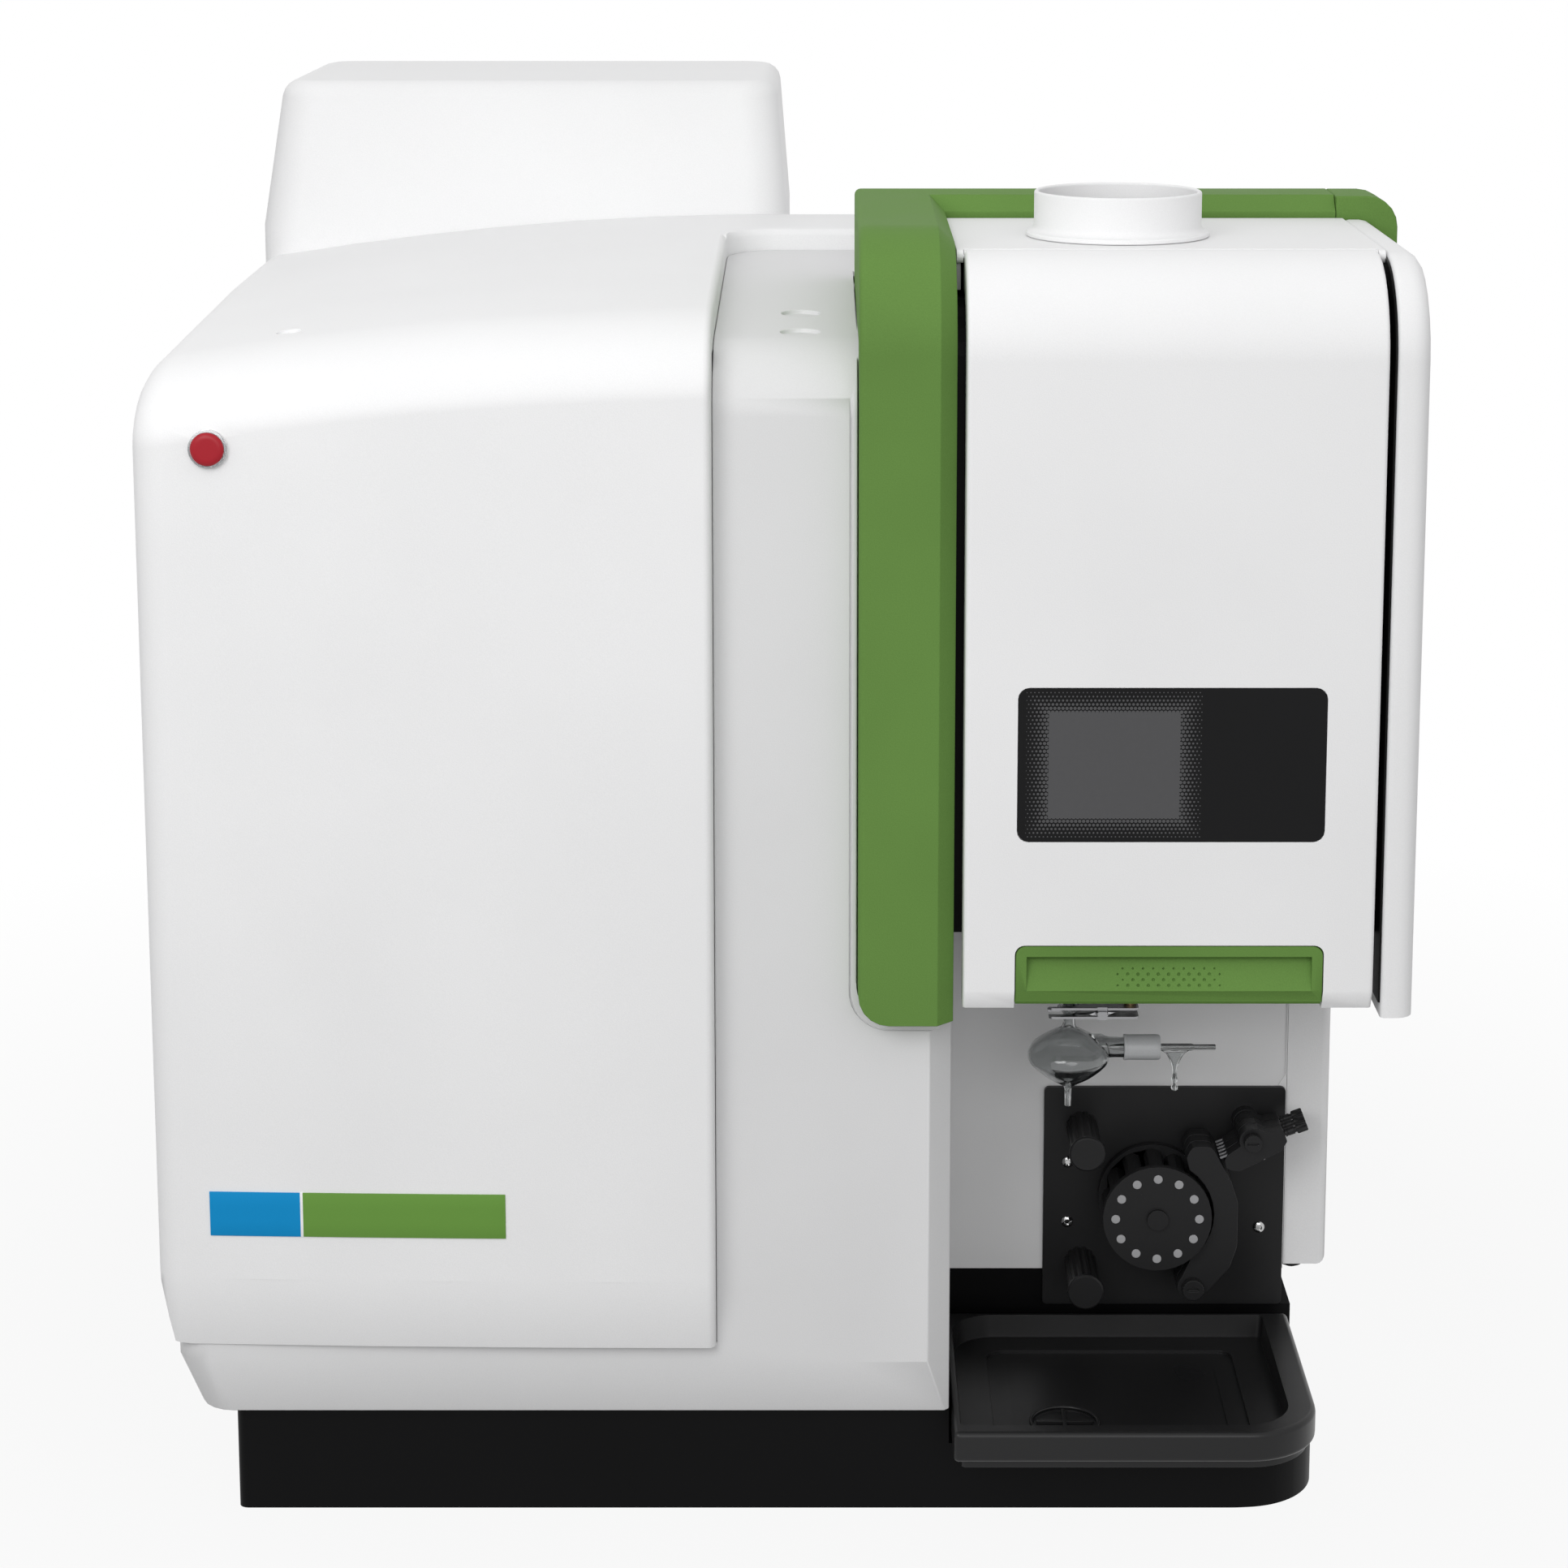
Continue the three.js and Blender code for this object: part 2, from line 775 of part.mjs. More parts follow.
function basePlinth() {
  const outline = rounded([
    [plinthX, plinthY, plinthEdgeRadius],
    [plinthRightX, plinthY, plinthCornerRadius],
    [plinthRightX, plinthRearY, plinthEdgeRadius],
    [plinthX, plinthRearY, plinthEdgeRadius],
  ]);
  const rim = rounded([
    [bayX, bayY, 0],
    [bayRightX, bayY, 0],
    [bayRightX, plinthRearY, 0],
    [bayRightX - rimWidth, plinthRearY, 0],
    [bayRightX - rimWidth, bayY + rimWidth, 0],
    [bayX, bayY + rimWidth, 0],
  ]);
  const block = joined(
    prism(outline, "xy", 0, plinthHeight),
    prism(rim, "xy", plinthHeight - rimWidth, rimHeight),
  );
  const shelf = box(
    bayX, plinthRightX + overrun, plinthY - overrun, bayY, trayShelfHeight, plinthHeight + overrun,
  );
  return cut(block, shelf);
}

function chassisTray() {
  const innerX = pillarRightX - coverWall - seat;
  const outline = [
    [leftX + skirtLedge + seat, frontY + skirtLedgeSet + seat],
    [innerX, frontY + skirtLedgeSet + seat],
    [innerX, housingY],
    [bayX, housingY],
    [bayX, bayY + rimWidth + seat],
    [bayRightX - rimWidth - seat, bayY + rimWidth + seat],
    [bayRightX - rimWidth - seat, plinthRearY],
    [leftX + skirtLedge + seat, plinthRearY],
  ];
  return prism(outline, "xy", skirtBottomHeight, chassisTopHeight);
}

// Left cover

// How far the cover's ridge stands above its front height, at a depth behind the front plane.
function spineRise(set) {
  const spine = [
    [coverRollDepth, 0],
    [coverShoulderSet, coverShoulderRise],
    [coverCrestSet, coverCrestRise],
    [bodyDepth, -coverRearDrop],
  ];
  let k = 1;
  while (k + 1 < spine.length && set > spine[k][0]) k += 1;
  const [[fromSet, fromRise], [toSet, toRise]] = [spine[k - 1], spine[k]];
  return fromRise + ((toRise - fromRise) * (set - fromSet)) / (toSet - fromSet);
}

// The front sweeps back towards the left side, and the top crowns down towards it.
const coverFrontY = (x) => frontY + coverSweep * Math.min(0, (x - stepX) / leftCoverWidth) ** 2;
const crownX = stepX + coverCrownReach;
const coverDrop = (x) => coverCrown * Math.min(0, (x - crownX) / (crownX - leftX)) ** 2;
const coverHeightAt = (x, set) => coverTopHeight + spineRise(set) - coverDrop(x);

function coverSection(x, inset, bottom, rear) {
  const y = coverFrontY(x) + inset;
  const top = coverTopHeight - coverDrop(x) - inset;
  return [
    [y + coverFootTaper, bottom],
    [y, seamHeight + coverCrease],
    ...roll(y, top, coverRollDepth - inset, coverRollHeight - inset),
    [frontY + coverShoulderSet, top + coverShoulderRise],
    [frontY + coverCrestSet, top + coverCrestRise],
    [rear, top + spineRise(rear - frontY)],
    [rear, bottom],
  ];
}

// The lip behind the recessed centre, with a rounded inside corner where it leaves the cover.
function coverLip(inset, rear) {
  const centreX = stepX + lipCornerRadius;
  const centreY = frontY + lipSet - lipCornerRadius;
  const corner = arc(centreX, centreY, lipCornerRadius + inset, 180, 90, 6);
  const sections = [
    [stepX - 2 * coverWall - coverStepRadius, centreY],
    ...corner,
    [housingX - seat, frontY + lipSet + inset],
  ];
  const sectionAt = (x, y) => {
    const top = coverTopHeight - coverDrop(x) - inset;
    return [
      [y, seamHeight],
      ...roll(y, top + coverShoulderRise, coverStepRadius, coverStepRadius, 3),
      [frontY + coverCrestSet, top + coverCrestRise],
      [rear, top + spineRise(rear - frontY)],
      [rear, seamHeight],
    ];
  };
  return lofted(sections.map(([x, y]) => sectionAt(x, y).map(([sectionY, z]) => [x, sectionY, z])));
}

// The wedge that the left side leans in by, below the crease.
function coverSideWedge(grow) {
  const creaseHeight = seamHeight + coverCrease;
  const outline = [
    [leftX + grow - overrun, seamHeight - overrun],
    [leftX + grow + coverSideTaper, seamHeight - overrun],
    [leftX + grow + coverSideTaper, seamHeight],
    [leftX + grow, creaseHeight],
    [leftX + grow - overrun, creaseHeight],
  ];
  return prism(outline, "xz", frontY - overrun, rearY + 2 * overrun);
}

function leftCover() {
  const innerRadius = coverEdgeRadius - coverWall;
  const outer = sweptX(stations(leftX, stepX, coverEdgeRadius, coverStepRadius, 6), (x, inset) =>
    coverSection(x, inset, seamHeight, rearY));
  const inner = sweptX(
    stations(leftX + coverWall, stepX - coverWall, innerRadius, coverStepRadius, 6, 2),
    (x, inset) => coverSection(x, inset + coverWall, seamHeight + coverWall, rearY + overrun),
  );
  const hollow = joined(cut(inner, coverSideWedge(coverWall)), coverLip(coverWall, rearY + overrun));
  const flangeHeight = coverTopHeight + coverShoulderRise - coverFlange;
  const belowFlange = box(
    stepX - 2 * coverWall, housingX + overrun, frontY + coverFlange, rearY + overrun,
    seamHeight - overrun, flangeHeight,
  );
  const opening = box(
    leftX + coverLedge, housingX + overrun, frontY + coverLedgeSet, rearY + overrun,
    seamHeight - overrun, seamHeight + 2 * coverWall,
  );
  const dimpleX = leftX + dimpleInset;
  const dimpleFloor = coverHeightAt(dimpleX, dimpleSet) - dimpleDepth;
  const dimple = bar("z", [dimpleX, frontY + dimpleSet, dimpleFloor], 0, overrun, dimpleRadius);
  const buttonX = leftX + buttonInset;
  const buttonHole = bar("y", [buttonX, frontY, buttonHeight], -overrun, overrun, barrelRadius + seat);
  const shell = joined(cut(outer, coverSideWedge(0)), coverLip(0, rearY));
  return cut(shell, hollow, belowFlange, opening, towerBlock(-seat, 0), dimple, buttonHole);
}

// Tower

function towerBlock(inset, extraFoot) {
  const top = towerTopHeight - inset;
  const radius = towerTopRadius - inset;
  const foot = coverTopHeight - towerFoot;
  const places = [[foot - extraFoot, 0], ...stations(coverTopHeight, top, 0, radius)];
  return sweptZ(places, (z, edgeInset) => {
    const rise = Math.max(0, (z - coverTopHeight) / (towerTopHeight - coverTopHeight));
    const shrink = inset + edgeInset;
    return rectangle(
      leftX + towerLeftInset + towerLeftTaper * rise + shrink,
      stepX + towerRightInset - towerRightTaper * rise - shrink,
      frontY + towerFrontSet + towerLean * rise + shrink,
      frontY + towerRearSet - towerRearTaper * rise - shrink,
      towerCornerRadius - shrink,
    );
  });
}

const rearTower = () => cut(towerBlock(0, 0), towerBlock(coverWall, overrun));

// Front moulding: the recessed centre and the skirt under the left cover

// The height of the centre's top at a depth behind the front plane.
function valleyHeightAt(set) {
  const rollEndSet = valleySet + valleyRollDepth;
  const slope = (valleyRearHeight - valleyTopHeight) / (lipSet - rollEndSet);
  return valleyTopHeight + slope * (set - rollEndSet);
}

function valleyBlock(inset, x0, rear, bottom) {
  const y = frontY + valleySet + inset;
  const outline = [
    [y, bottom],
    ...roll(y, valleyTopHeight - inset, valleyRollDepth - inset, valleyRollHeight - inset),
    [rear, valleyHeightAt(rear - frontY) - inset],
    [rear, bottom],
  ];
  return prism(outline, "yz", x0, pillarRightX - inset);
}

function skirtBlock(inset, bottom, top, rear) {
  const creaseHeight = skirtBottomHeight + skirtCrease;
  return sweptZ([[bottom, 0], [creaseHeight, 0], [top, 0]], (z) => {
    const taper = Math.max(0, (creaseHeight - z) / skirtCrease);
    const x = leftX + skirtInset + skirtSideTaper * taper + inset;
    const y = frontY + valleySet + skirtFrontTaper * taper + inset;
    const right = pillarRightX - inset;
    return rounded([[x, rear, 0], [x, y, skirtCornerRadius - inset], [right, y, 0], [right, rear, 0]]);
  });
}

// The chamfer on the centre's right front edge, moved inwards by grow.
function mouldingChamfer(grow) {
  const [x, y] = [pillarRightX - mouldingChamferWidth - grow, frontY + valleySet + grow];
  const [endX, endY] = [x + mouldingChamferWidth, y + mouldingChamferDepth];
  const outline = [
    [x, y],
    [endX, endY],
    [pillarRightX + overrun, endY],
    [pillarRightX + overrun, frontY - overrun],
    [x, frontY - overrun],
  ];
  return prism(outline, "xy", skirtBottomHeight - overrun, valleyRearHeight + overrun);
}

// The pocket that the green frame lies in, moved outwards by grow.
function framePocket(grow) {
  const x = pillarX - pocketGap - grow;
  const z = frameBottomHeight - pocketDrop - grow;
  const outline = rounded([
    [x, z, frameFootRadius + pocketGap + grow],
    [pillarRightX + overrun, z, 0],
    [pillarRightX + overrun, frameTopHeight + overrun, 0],
    [x, frameTopHeight + overrun, 0],
  ]);
  const pillarPocket = prism(outline, "xz", frontY - overrun, frontY + frameDepth + seat + grow);
  const railBottom = frameTopHeight - frameRailHeight - seat - grow;
  const slot = box(
    x, pillarRightX + overrun, frontY - overrun, housingY + overrun, railBottom, frameTopHeight + overrun,
  );
  return joined(pillarPocket, slot);
}

function frontMoulding() {
  const x = stepX + seat;
  const rear = frontY + lipSet - seat;
  const creaseHeight = skirtBottomHeight + skirtCrease;
  const outer = joined(
    valleyBlock(0, x, rear, creaseHeight),
    skirtBlock(0, skirtBottomHeight, skirtTopHeight, rearY),
  );
  const hollow = joined(
    valleyBlock(coverWall, x - overrun, rear + overrun, creaseHeight),
    skirtBlock(coverWall, skirtBottomHeight + coverWall, skirtTopHeight + overrun, rearY + overrun),
  );
  const opening = box(
    leftX + skirtLedge, pillarRightX - coverWall, frontY + skirtLedgeSet, rearY + overrun,
    skirtBottomHeight - overrun, skirtBottomHeight + 2 * coverWall,
  );
  const behindHousing = box(
    housingX - seat, pillarRightX + overrun, housingY - seat, rearY + overrun,
    skirtBottomHeight - overrun, valleyRearHeight + overrun,
  );
  const [cornerX, cornerY] = [stepX + lipCornerRadius, frontY + lipSet - lipCornerRadius];
  const cornerOutline = [
    [stepX - overrun, cornerY],
    ...arc(cornerX, cornerY, lipCornerRadius - seat, 180, 90, 6),
    [cornerX, rear + overrun],
    [stepX - overrun, rear + overrun],
  ];
  const corner = prism(cornerOutline, "xy", creaseHeight, valleyRearHeight + overrun);
  const dimpleX = pillarX - valleyDimpleInset;
  const dimples = [0, 1].map((k) => {
    const set = valleyDimpleSet + k * valleyDimplePitch;
    const floor = valleyHeightAt(set) - dimpleDepth;
    return bar("z", [dimpleX, frontY + set, floor], 0, overrun, valleyDimpleRadius);
  });
  const inside = cut(hollow, mouldingChamfer(coverWall), framePocket(coverWall));
  return cut(
    outer, inside, opening, mouldingChamfer(0), framePocket(0), behindHousing, corner, ...dimples,
  );
}

// Green frame and side band

function greenFrame() {
  const railBottom = frameTopHeight - frameRailHeight;
  const bandY = frontY + bandSet;
  const outer = sweptX(
    stations(pillarX, pillarRightX - frameChamfer, frameEdgeRadius, 0),
    (x, inset) => frameSection(inset),
  );
  const chamfered = lofted(
    [[pillarRightX - frameChamfer, 0], [pillarRightX, frameChamfer]].map(([x, inset]) =>
      frameSection(inset).map(([y, z]) => [x, y, z])),
  );
  const inside = box(
    pillarX - overrun, pillarRightX + overrun, frontY + frameDepth, rearY,
    frameBottomHeight - overrun, railBottom,
  );
  const footprint = rounded([
    [pillarX, frameBottomHeight, frameFootRadius],
    [pillarRightX + overrun, frameBottomHeight, 0],
    [pillarRightX + overrun, frameTopHeight + overrun, 0],
    [pillarX, frameTopHeight + overrun, 0],
  ]);
  const trimmed = joined(outer, chamfered).intersect(prism(footprint, "xz", frontY - overrun, rearY));
  const bandOutline = [
    [bandY, frameTopHeight - bandHeight],
    [bandY, frameTopHeight - frameChamfer],
    [bandY + frameChamfer, frameTopHeight],
    [bandY + bandDepth, frameTopHeight],
    [bandY + bandDepth, frameTopHeight - bandHeight],
  ];
  const band = prism(bandOutline, "yz", pillarRightX - frameChamfer, doorRightX + seat);
  return joined(cut(trimmed, inside), band);
}


function frameSection(inset) {
  const rear = frontY + bandSet + bandDepth;
  const y = frontY + inset;
  const top = frameTopHeight - inset;
  const radius = frameRollRadius - inset;
  const foot = frameBottomHeight;
  return [[y, foot], ...roll(y, top, radius, radius, 8), [rear, top], [rear, foot]];
}

function greenSideBand() {
  const x = doorRightX + 2 * seat;
  const bandBottom = frameTopHeight - bandHeight;
  const outline = rounded([
    [x, frameTopHeight, 0],
    [x, bandBottom, 0],
    [rightX - bandThickness, bandBottom, frameEdgeRadius],
    [rightX - bandThickness, frameBottomHeight, 0],
    [rightX, frameBottomHeight, frameEdgeRadius],
    [rightX, frameTopHeight, bandCornerRadius],
  ]);
  const y = frontY + bandSet;
  return prism(outline, "xz", y, y + bandDepth);
}

// Rear housing, right side cover and lower side panel

function rearHousing() {
  const section = (inset, front, rear, bottom) => {
    const slope = (housingShoulderHeight - housingRearHeight) / (bodyDepth - housingShoulderSet);
    return [
      [front, bottom],
      [front, housingFrontHeight - inset],
      [frontY + housingShoulderSet, housingShoulderHeight - inset],
      [rear, housingRearHeight - slope * (rear - rearY) - inset],
      [rear, bottom],
    ];
  };
  const outer = sweptX(stations(housingX, sideCoverRightX, 0, housingEdgeRadius), (x, inset) =>
    section(inset, housingY, rearY, doorBottomHeight));
  const inner = sweptX(
    stations(housingX + coverWall, sideCoverRightX - coverWall, 0, housingEdgeRadius - coverWall),
    (x, inset) =>
      section(inset + coverWall, housingY + coverWall, rearY + overrun, doorBottomHeight + coverWall),
  );
  const opening = box(
    housingX + coverWall, sidePanelRightX, housingY + coverWall, rearY + overrun,
    doorBottomHeight - overrun, doorBottomHeight + 2 * coverWall,
  );
  return cut(outer, inner, opening);
}

function rightSideCover() {
  const top = doorTopHeight - sideCoverTopDrop;
  const section = (inset, rear, bottom) => {
    const y = frontY + sideCoverSet + inset;
    const radius = doorRollRadius - inset;
    return [[y, bottom], ...roll(y, top - inset, radius, radius), [rear, top - inset], [rear, bottom]];
  };
  const rear = frontY + sideCoverRearSet;
  const outer = sweptX(
    stations(sideCoverX, sideCoverRightX, sideCoverSeamRadius, sideCoverEdgeRadius - sideCoverSeamRadius),
    (x, inset) => section(inset, rear, sideCoverBottomHeight),
  );
  const inner = sweptX(
    stations(sideCoverX + coverWall, sideCoverRightX - coverWall, 0, sideCoverEdgeRadius - 2 * coverWall),
    (x, inset) => section(inset + coverWall, rear - coverWall, sideCoverBottomHeight - overrun),
  );
  return cut(outer, inner);
}

function lowerSidePanel() {
  const [y, bottom, top] = [bayY + seat, rimHeight + bumperHeight, doorBottomHeight - seat];
  const section = (inset) => [
    [y + inset, bottom + inset],
    [y + inset, top],
    [plinthRearY, top],
    [plinthRearY, bottom + inset],
  ];
  const places = stations(sidePanelX, sidePanelRightX, 0, sidePanelEdgeRadius);
  const outer = sweptX(places, (x, inset) => section(inset));
  const inner = box(
    sidePanelX + coverWall, sidePanelRightX - coverWall, y + coverWall, plinthRearY - coverWall,
    bottom + coverWall, top + overrun,
  );
  return cut(outer, inner);
}

function panelBumper() {
  const top = rimHeight + bumperHeight - seat;
  const centre = [bayRightX + bumperRadius + seat, bayY + bumperRadius + seat, top];
  const dome = [
    [0, -bumperHeight],
    ...bumperShares.map(([radiusShare, heightShare]) => [
      radiusShare * bumperRadius, -heightShare * bumperHeight,
    ]),
    [bumperRadius, 0],
    [0, 0],
  ];
  return revolved("z", dome, centre);
}

// Rear panel, its fan, inlet and switch

const fanX = bayRightX - fanInset + fanSize / 2;
const inletX = bayRightX - inletInset;

function rearPanel() {
  const coverX = leftX + coverWall + seat;
  const bottom = chassisTopHeight + 2 * seat + sheetWall;
  const ledgeTop = seamHeight + coverWall + seat;
  const topAt = (x) => coverHeightAt(x, bodyDepth) - coverWall - rearPanelTopGap;
  const crownPlaces = [0, 0.3, 0.6, 1].map((share) => leftX + coverEdgeRadius + share * (crownX - leftX));
  const outline = [
    [leftX + skirtLedge + seat, bottom],
    [sidePanelRightX - seat, bottom],
    [sidePanelRightX - seat, doorBottomHeight + coverWall + seat],
    [sideCoverRightX - coverWall - seat, doorBottomHeight + coverWall + seat],
    [sideCoverRightX - coverWall - seat, housingRearHeight - coverWall - rearPanelTopGap],
    [housingX + coverWall + seat, housingRearHeight - coverWall - rearPanelTopGap],
    [housingX + coverWall + seat, doorBottomHeight - seat],
    [housingX - seat, doorBottomHeight - seat],
    [housingX - seat, topAt(housingX)],
    ...crownPlaces.map((x) => [x, topAt(x)]).reverse(),
    [coverX, topAt(leftX) - coverEdgeRadius],
    [coverX, seamHeight + coverCrease + coverWall],
    [coverX + coverSideTaper + coverWall, ledgeTop],
    [leftX + skirtLedge + seat, ledgeTop],
  ];
  const [y0, y1] = [rearPanelY, rearPanelY + rearPanelThickness];
  const vents = Array.from({ length: ventCount }, (unused, k) => {
    const x = plinthX + ventInset + k * ventPitch;
    const z = plinthHeight + ventLift;
    const slot = rectangle(x, x + ventWidth, z, z + ventHeight, ventWidth / 2, 2);
    return prism(slot, "xz", y0 - seat, y1 + seat);
  });
  const bore = fanSize / 2 - fanRimWall;
  const grilleCount = Math.floor(bore / grillePitch);
  const grille = Array.from({ length: 2 * grilleCount + 1 }, (unused, k) => {
    const offset = (k - grilleCount) * grillePitch;
    const half = Math.sqrt(bore ** 2 - offset ** 2) - grilleBarWidth;
    const width = grillePitch - grilleBarWidth;
    const x = fanX + offset - width / 2;
    return box(x, x + width, y0 - seat, y1 + seat, fanHeight - half, fanHeight + half);
  });
  const inlet = box(
    inletX - seat, inletX + inletWidth + seat, y0 - seat, y1 + seat,
    inletBottomHeight - seat, inletBottomHeight + inletHeight + seat,
  );
  return cut(prism(outline, "xz", y0, y1), ...vents, ...grille, inlet);
}

function fanFrame() {
  const [y0, y1] = [rearPanelY - seat - fanDepth, rearPanelY - seat];
  const half = fanSize / 2;
  const outline = rectangle(fanX - half, fanX + half, fanHeight - half, fanHeight + half, fanCornerRadius);
  const centre = [fanX, y1, fanHeight];
  const duct = bar("y", centre, -2 * fanDepth, fanDepth, half - fanRimWall, 32);
  const ring = cut(prism(outline, "xz", y0, y1), duct);
  const struts = joined(
    box(fanX - half + fanRimWall / 2, fanX + half - fanRimWall / 2, y1 - fanBossDepth, y1,
      fanHeight - fanStrutWidth / 2, fanHeight + fanStrutWidth / 2),
    box(fanX - fanStrutWidth / 2, fanX + fanStrutWidth / 2, y1 - fanBossDepth, y1,
      fanHeight - half + fanRimWall / 2, fanHeight + half - fanRimWall / 2),
  );
  const boss = bar("y", centre, -fanBossDepth, 0, fanBossRadius);
  const axle = bar("y", centre, -fanBossDepth - fanAxleLength, 0, fanAxleRadius, 12);
  return joined(ring, struts, boss, axle);
}

function fanRotor() {
  const hubEnd = rearPanelY - seat - fanBossDepth - fanEndGap;
  const hub = bar("y", [fanX, hubEnd, fanHeight], -fanHubDepth, 0, fanHubRadius);
  const reach = fanSize / 2 - fanRimWall - fanTipGap;
  const blades = Array.from({ length: fanBladeCount }, (unused, k) => {
    const blade = new THREE.BoxGeometry(fanBladeWidth, fanBladeThickness, reach - fanHubRadius / 2);
    blade.rotateZ(THREE.MathUtils.degToRad(fanBladePitch));
    blade.translate(0, 0, (reach + fanHubRadius / 2) / 2);
    blade.rotateY((2 * Math.PI * k) / fanBladeCount);
    blade.translate(fanX, hubEnd - fanHubDepth / 2, fanHeight);
    return solidOf(blade);
  });
  const sleeve = bar("y", [fanX, hubEnd, fanHeight], -fanDepth, 0, reach, 32);
  const boreRadius = fanAxleRadius + turningGap;
  const bore = bar("y", [fanX, hubEnd, fanHeight], -fanAxleLength, fanDepth, boreRadius, 12);
  return cut(joined(hub, joined(...blades).intersect(sleeve)), bore);
}

// The mains module holds the plug socket below and the rocker above.
const rockerPivotY = rearPanelY + rearPanelThickness - rockerDepth / 2;
const rockerPivotHeight = inletBottomHeight + inletHeight - inletWall - rockerHeight / 2;

function powerInlet() {
  const face = rearPanelY + rearPanelThickness + seat;
  const [x0, x1] = [inletX, inletX + inletWidth];
  const [z0, z1] = [inletBottomHeight, inletBottomHeight + inletHeight];
  const flange = box(
    x0 - inletFlange, x1 + inletFlange, face, face + inletFlangeThickness, z0 - inletFlange, z1 + inletFlange,
  );
  const back = face + inletFlangeThickness;
  const body = joined(box(x0, x1, face - inletDepth, back, z0, z1), flange);
  const socket = box(
    x0 + inletWall, x1 - inletWall, back - socketDepth, back + overrun,
    z0 + inletWall, z0 + inletWall + socketHeight,
  );
  const prongs = [-1, 0, 1].map((k) => {
    const x = (x0 + x1) / 2 + k * prongPitch;
    const z = z0 + inletWall + socketHeight / 2;
    return box(
      x - prongWidth / 2, x + prongWidth / 2, back - socketDepth - inletWall / 2,
      back - socketDepth + prongLength, z - prongHeight / 2, z + prongHeight / 2,
    );
  });
  const pocket = box(
    x0 + inletWall, x1 - inletWall, back - socketDepth, back + overrun,
    rockerPivotHeight - rockerHeight / 2 - rockerGap, rockerPivotHeight + rockerHeight / 2 + rockerGap,
  );
  const pivots = bar(
    "x", [(x0 + x1) / 2, rockerPivotY, rockerPivotHeight],
    -inletWidth / 2 + inletWall / 3, inletWidth / 2 - inletWall / 3, rockerPinRadius + turningGap, 12,
  );
  return joined(cut(body, socket, pocket, pivots), ...prongs);
}

function powerSwitch() {
  const geometryTurn = THREE.MathUtils.degToRad(rockerTilt);
  const half = rockerHeight / 2 - rockerGap;
  const outline = [
    [-rockerDepth / 2, -half],
    [rockerDepth / 2, -half],
    [rockerDepth / 2 - rockerValley, 0],
    [rockerDepth / 2, half],
    [-rockerDepth / 2, half],
  ].map(([y, z]) => [
    rockerPivotY + y * Math.cos(geometryTurn) - z * Math.sin(geometryTurn),
    rockerPivotHeight + y * Math.sin(geometryTurn) + z * Math.cos(geometryTurn),
  ]);
  const x0 = inletX + inletWall + rockerGap;
  const x1 = inletX + inletWidth - inletWall - rockerGap;
  const pinReach = inletWidth / 2 - inletWall / 2;
  const pin = bar(
    "x", [inletX + inletWidth / 2, rockerPivotY, rockerPivotHeight], -pinReach, pinReach, rockerPinRadius, 12,
  );
  return joined(prism(outline, "yz", x0, x1), pin);
}

// Top cover and exhaust collar

const collarX = doorRightX - collarInset;
const collarY = frontY + collarSet;
const spigotRadius = collarRadius - collarFillet / 2;

function topCover() {
  const [x0, x1] = [bayX + hingeGap, sideCoverX - topCoverRightGap];
  const [y0, y1] = [frontY + topCoverSet, frontY + bandSet - topCoverWall];
  const bottom = doorTopHeight - topCoverSkirt;
  const plate = box(x0, x1, y0, y1, bottom, doorTopHeight);
  const hollow = box(
    x0 + topCoverWall, x1 - topCoverWall, y0 - overrun, y1 - topCoverWall,
    bottom - overrun, doorTopHeight - coverWall,
  );
  const lugAt = (x) => {
    const outline = rounded([
      [y0 + coverWall, doorTopHeight, 0],
      [hingeY - hingeRadius, doorTopHeight, hingeRadius],
      [hingeY - hingeRadius, hingeHeight - hingeRadius, hingeRadius],
      [y0 + coverWall, hingeHeight - hingeRadius, 0],
    ]);
    return prism(outline, "yz", x, x + lugWidth);
  };
  const duct = bar("z", [collarX, collarY, doorTopHeight], -overrun, overrun, spigotRadius + seat, 32);
  const seatRadius = hingePinRadius + seat;
  const pin = bar("x", [0, hingeY, hingeHeight], doorX - lugWidth, doorRightX + lugWidth, seatRadius, 12);
  const lugs = joined(lugAt(x0), lugAt(doorRightX + seat));
  return cut(joined(cut(plate, hollow, duct), lugs), pin);
}

function exhaustCollar() {
  const bore = collarRadius - collarWall;
  const profile = [
    [bore, -collarSpigot],
    [spigotRadius, -collarSpigot],
    [spigotRadius, 0],
    [collarBaseRadius, 0],
    [collarBaseRadius, collarFootHeight],
    [collarRadius + collarFillet / 2, collarFootHeight + collarFillet],
    [collarRadius, collarFootHeight + 2 * collarFillet],
    [collarRadius, collarHeight - collarBead],
    [collarRadius - collarBead / 2, collarHeight],
    [bore + collarBead / 2, collarHeight],
    [bore, collarHeight - collarBead],
  ];
  return revolved("z", profile, [collarX, collarY, doorTopHeight + seat], 32);
}

// Torch compartment and bay

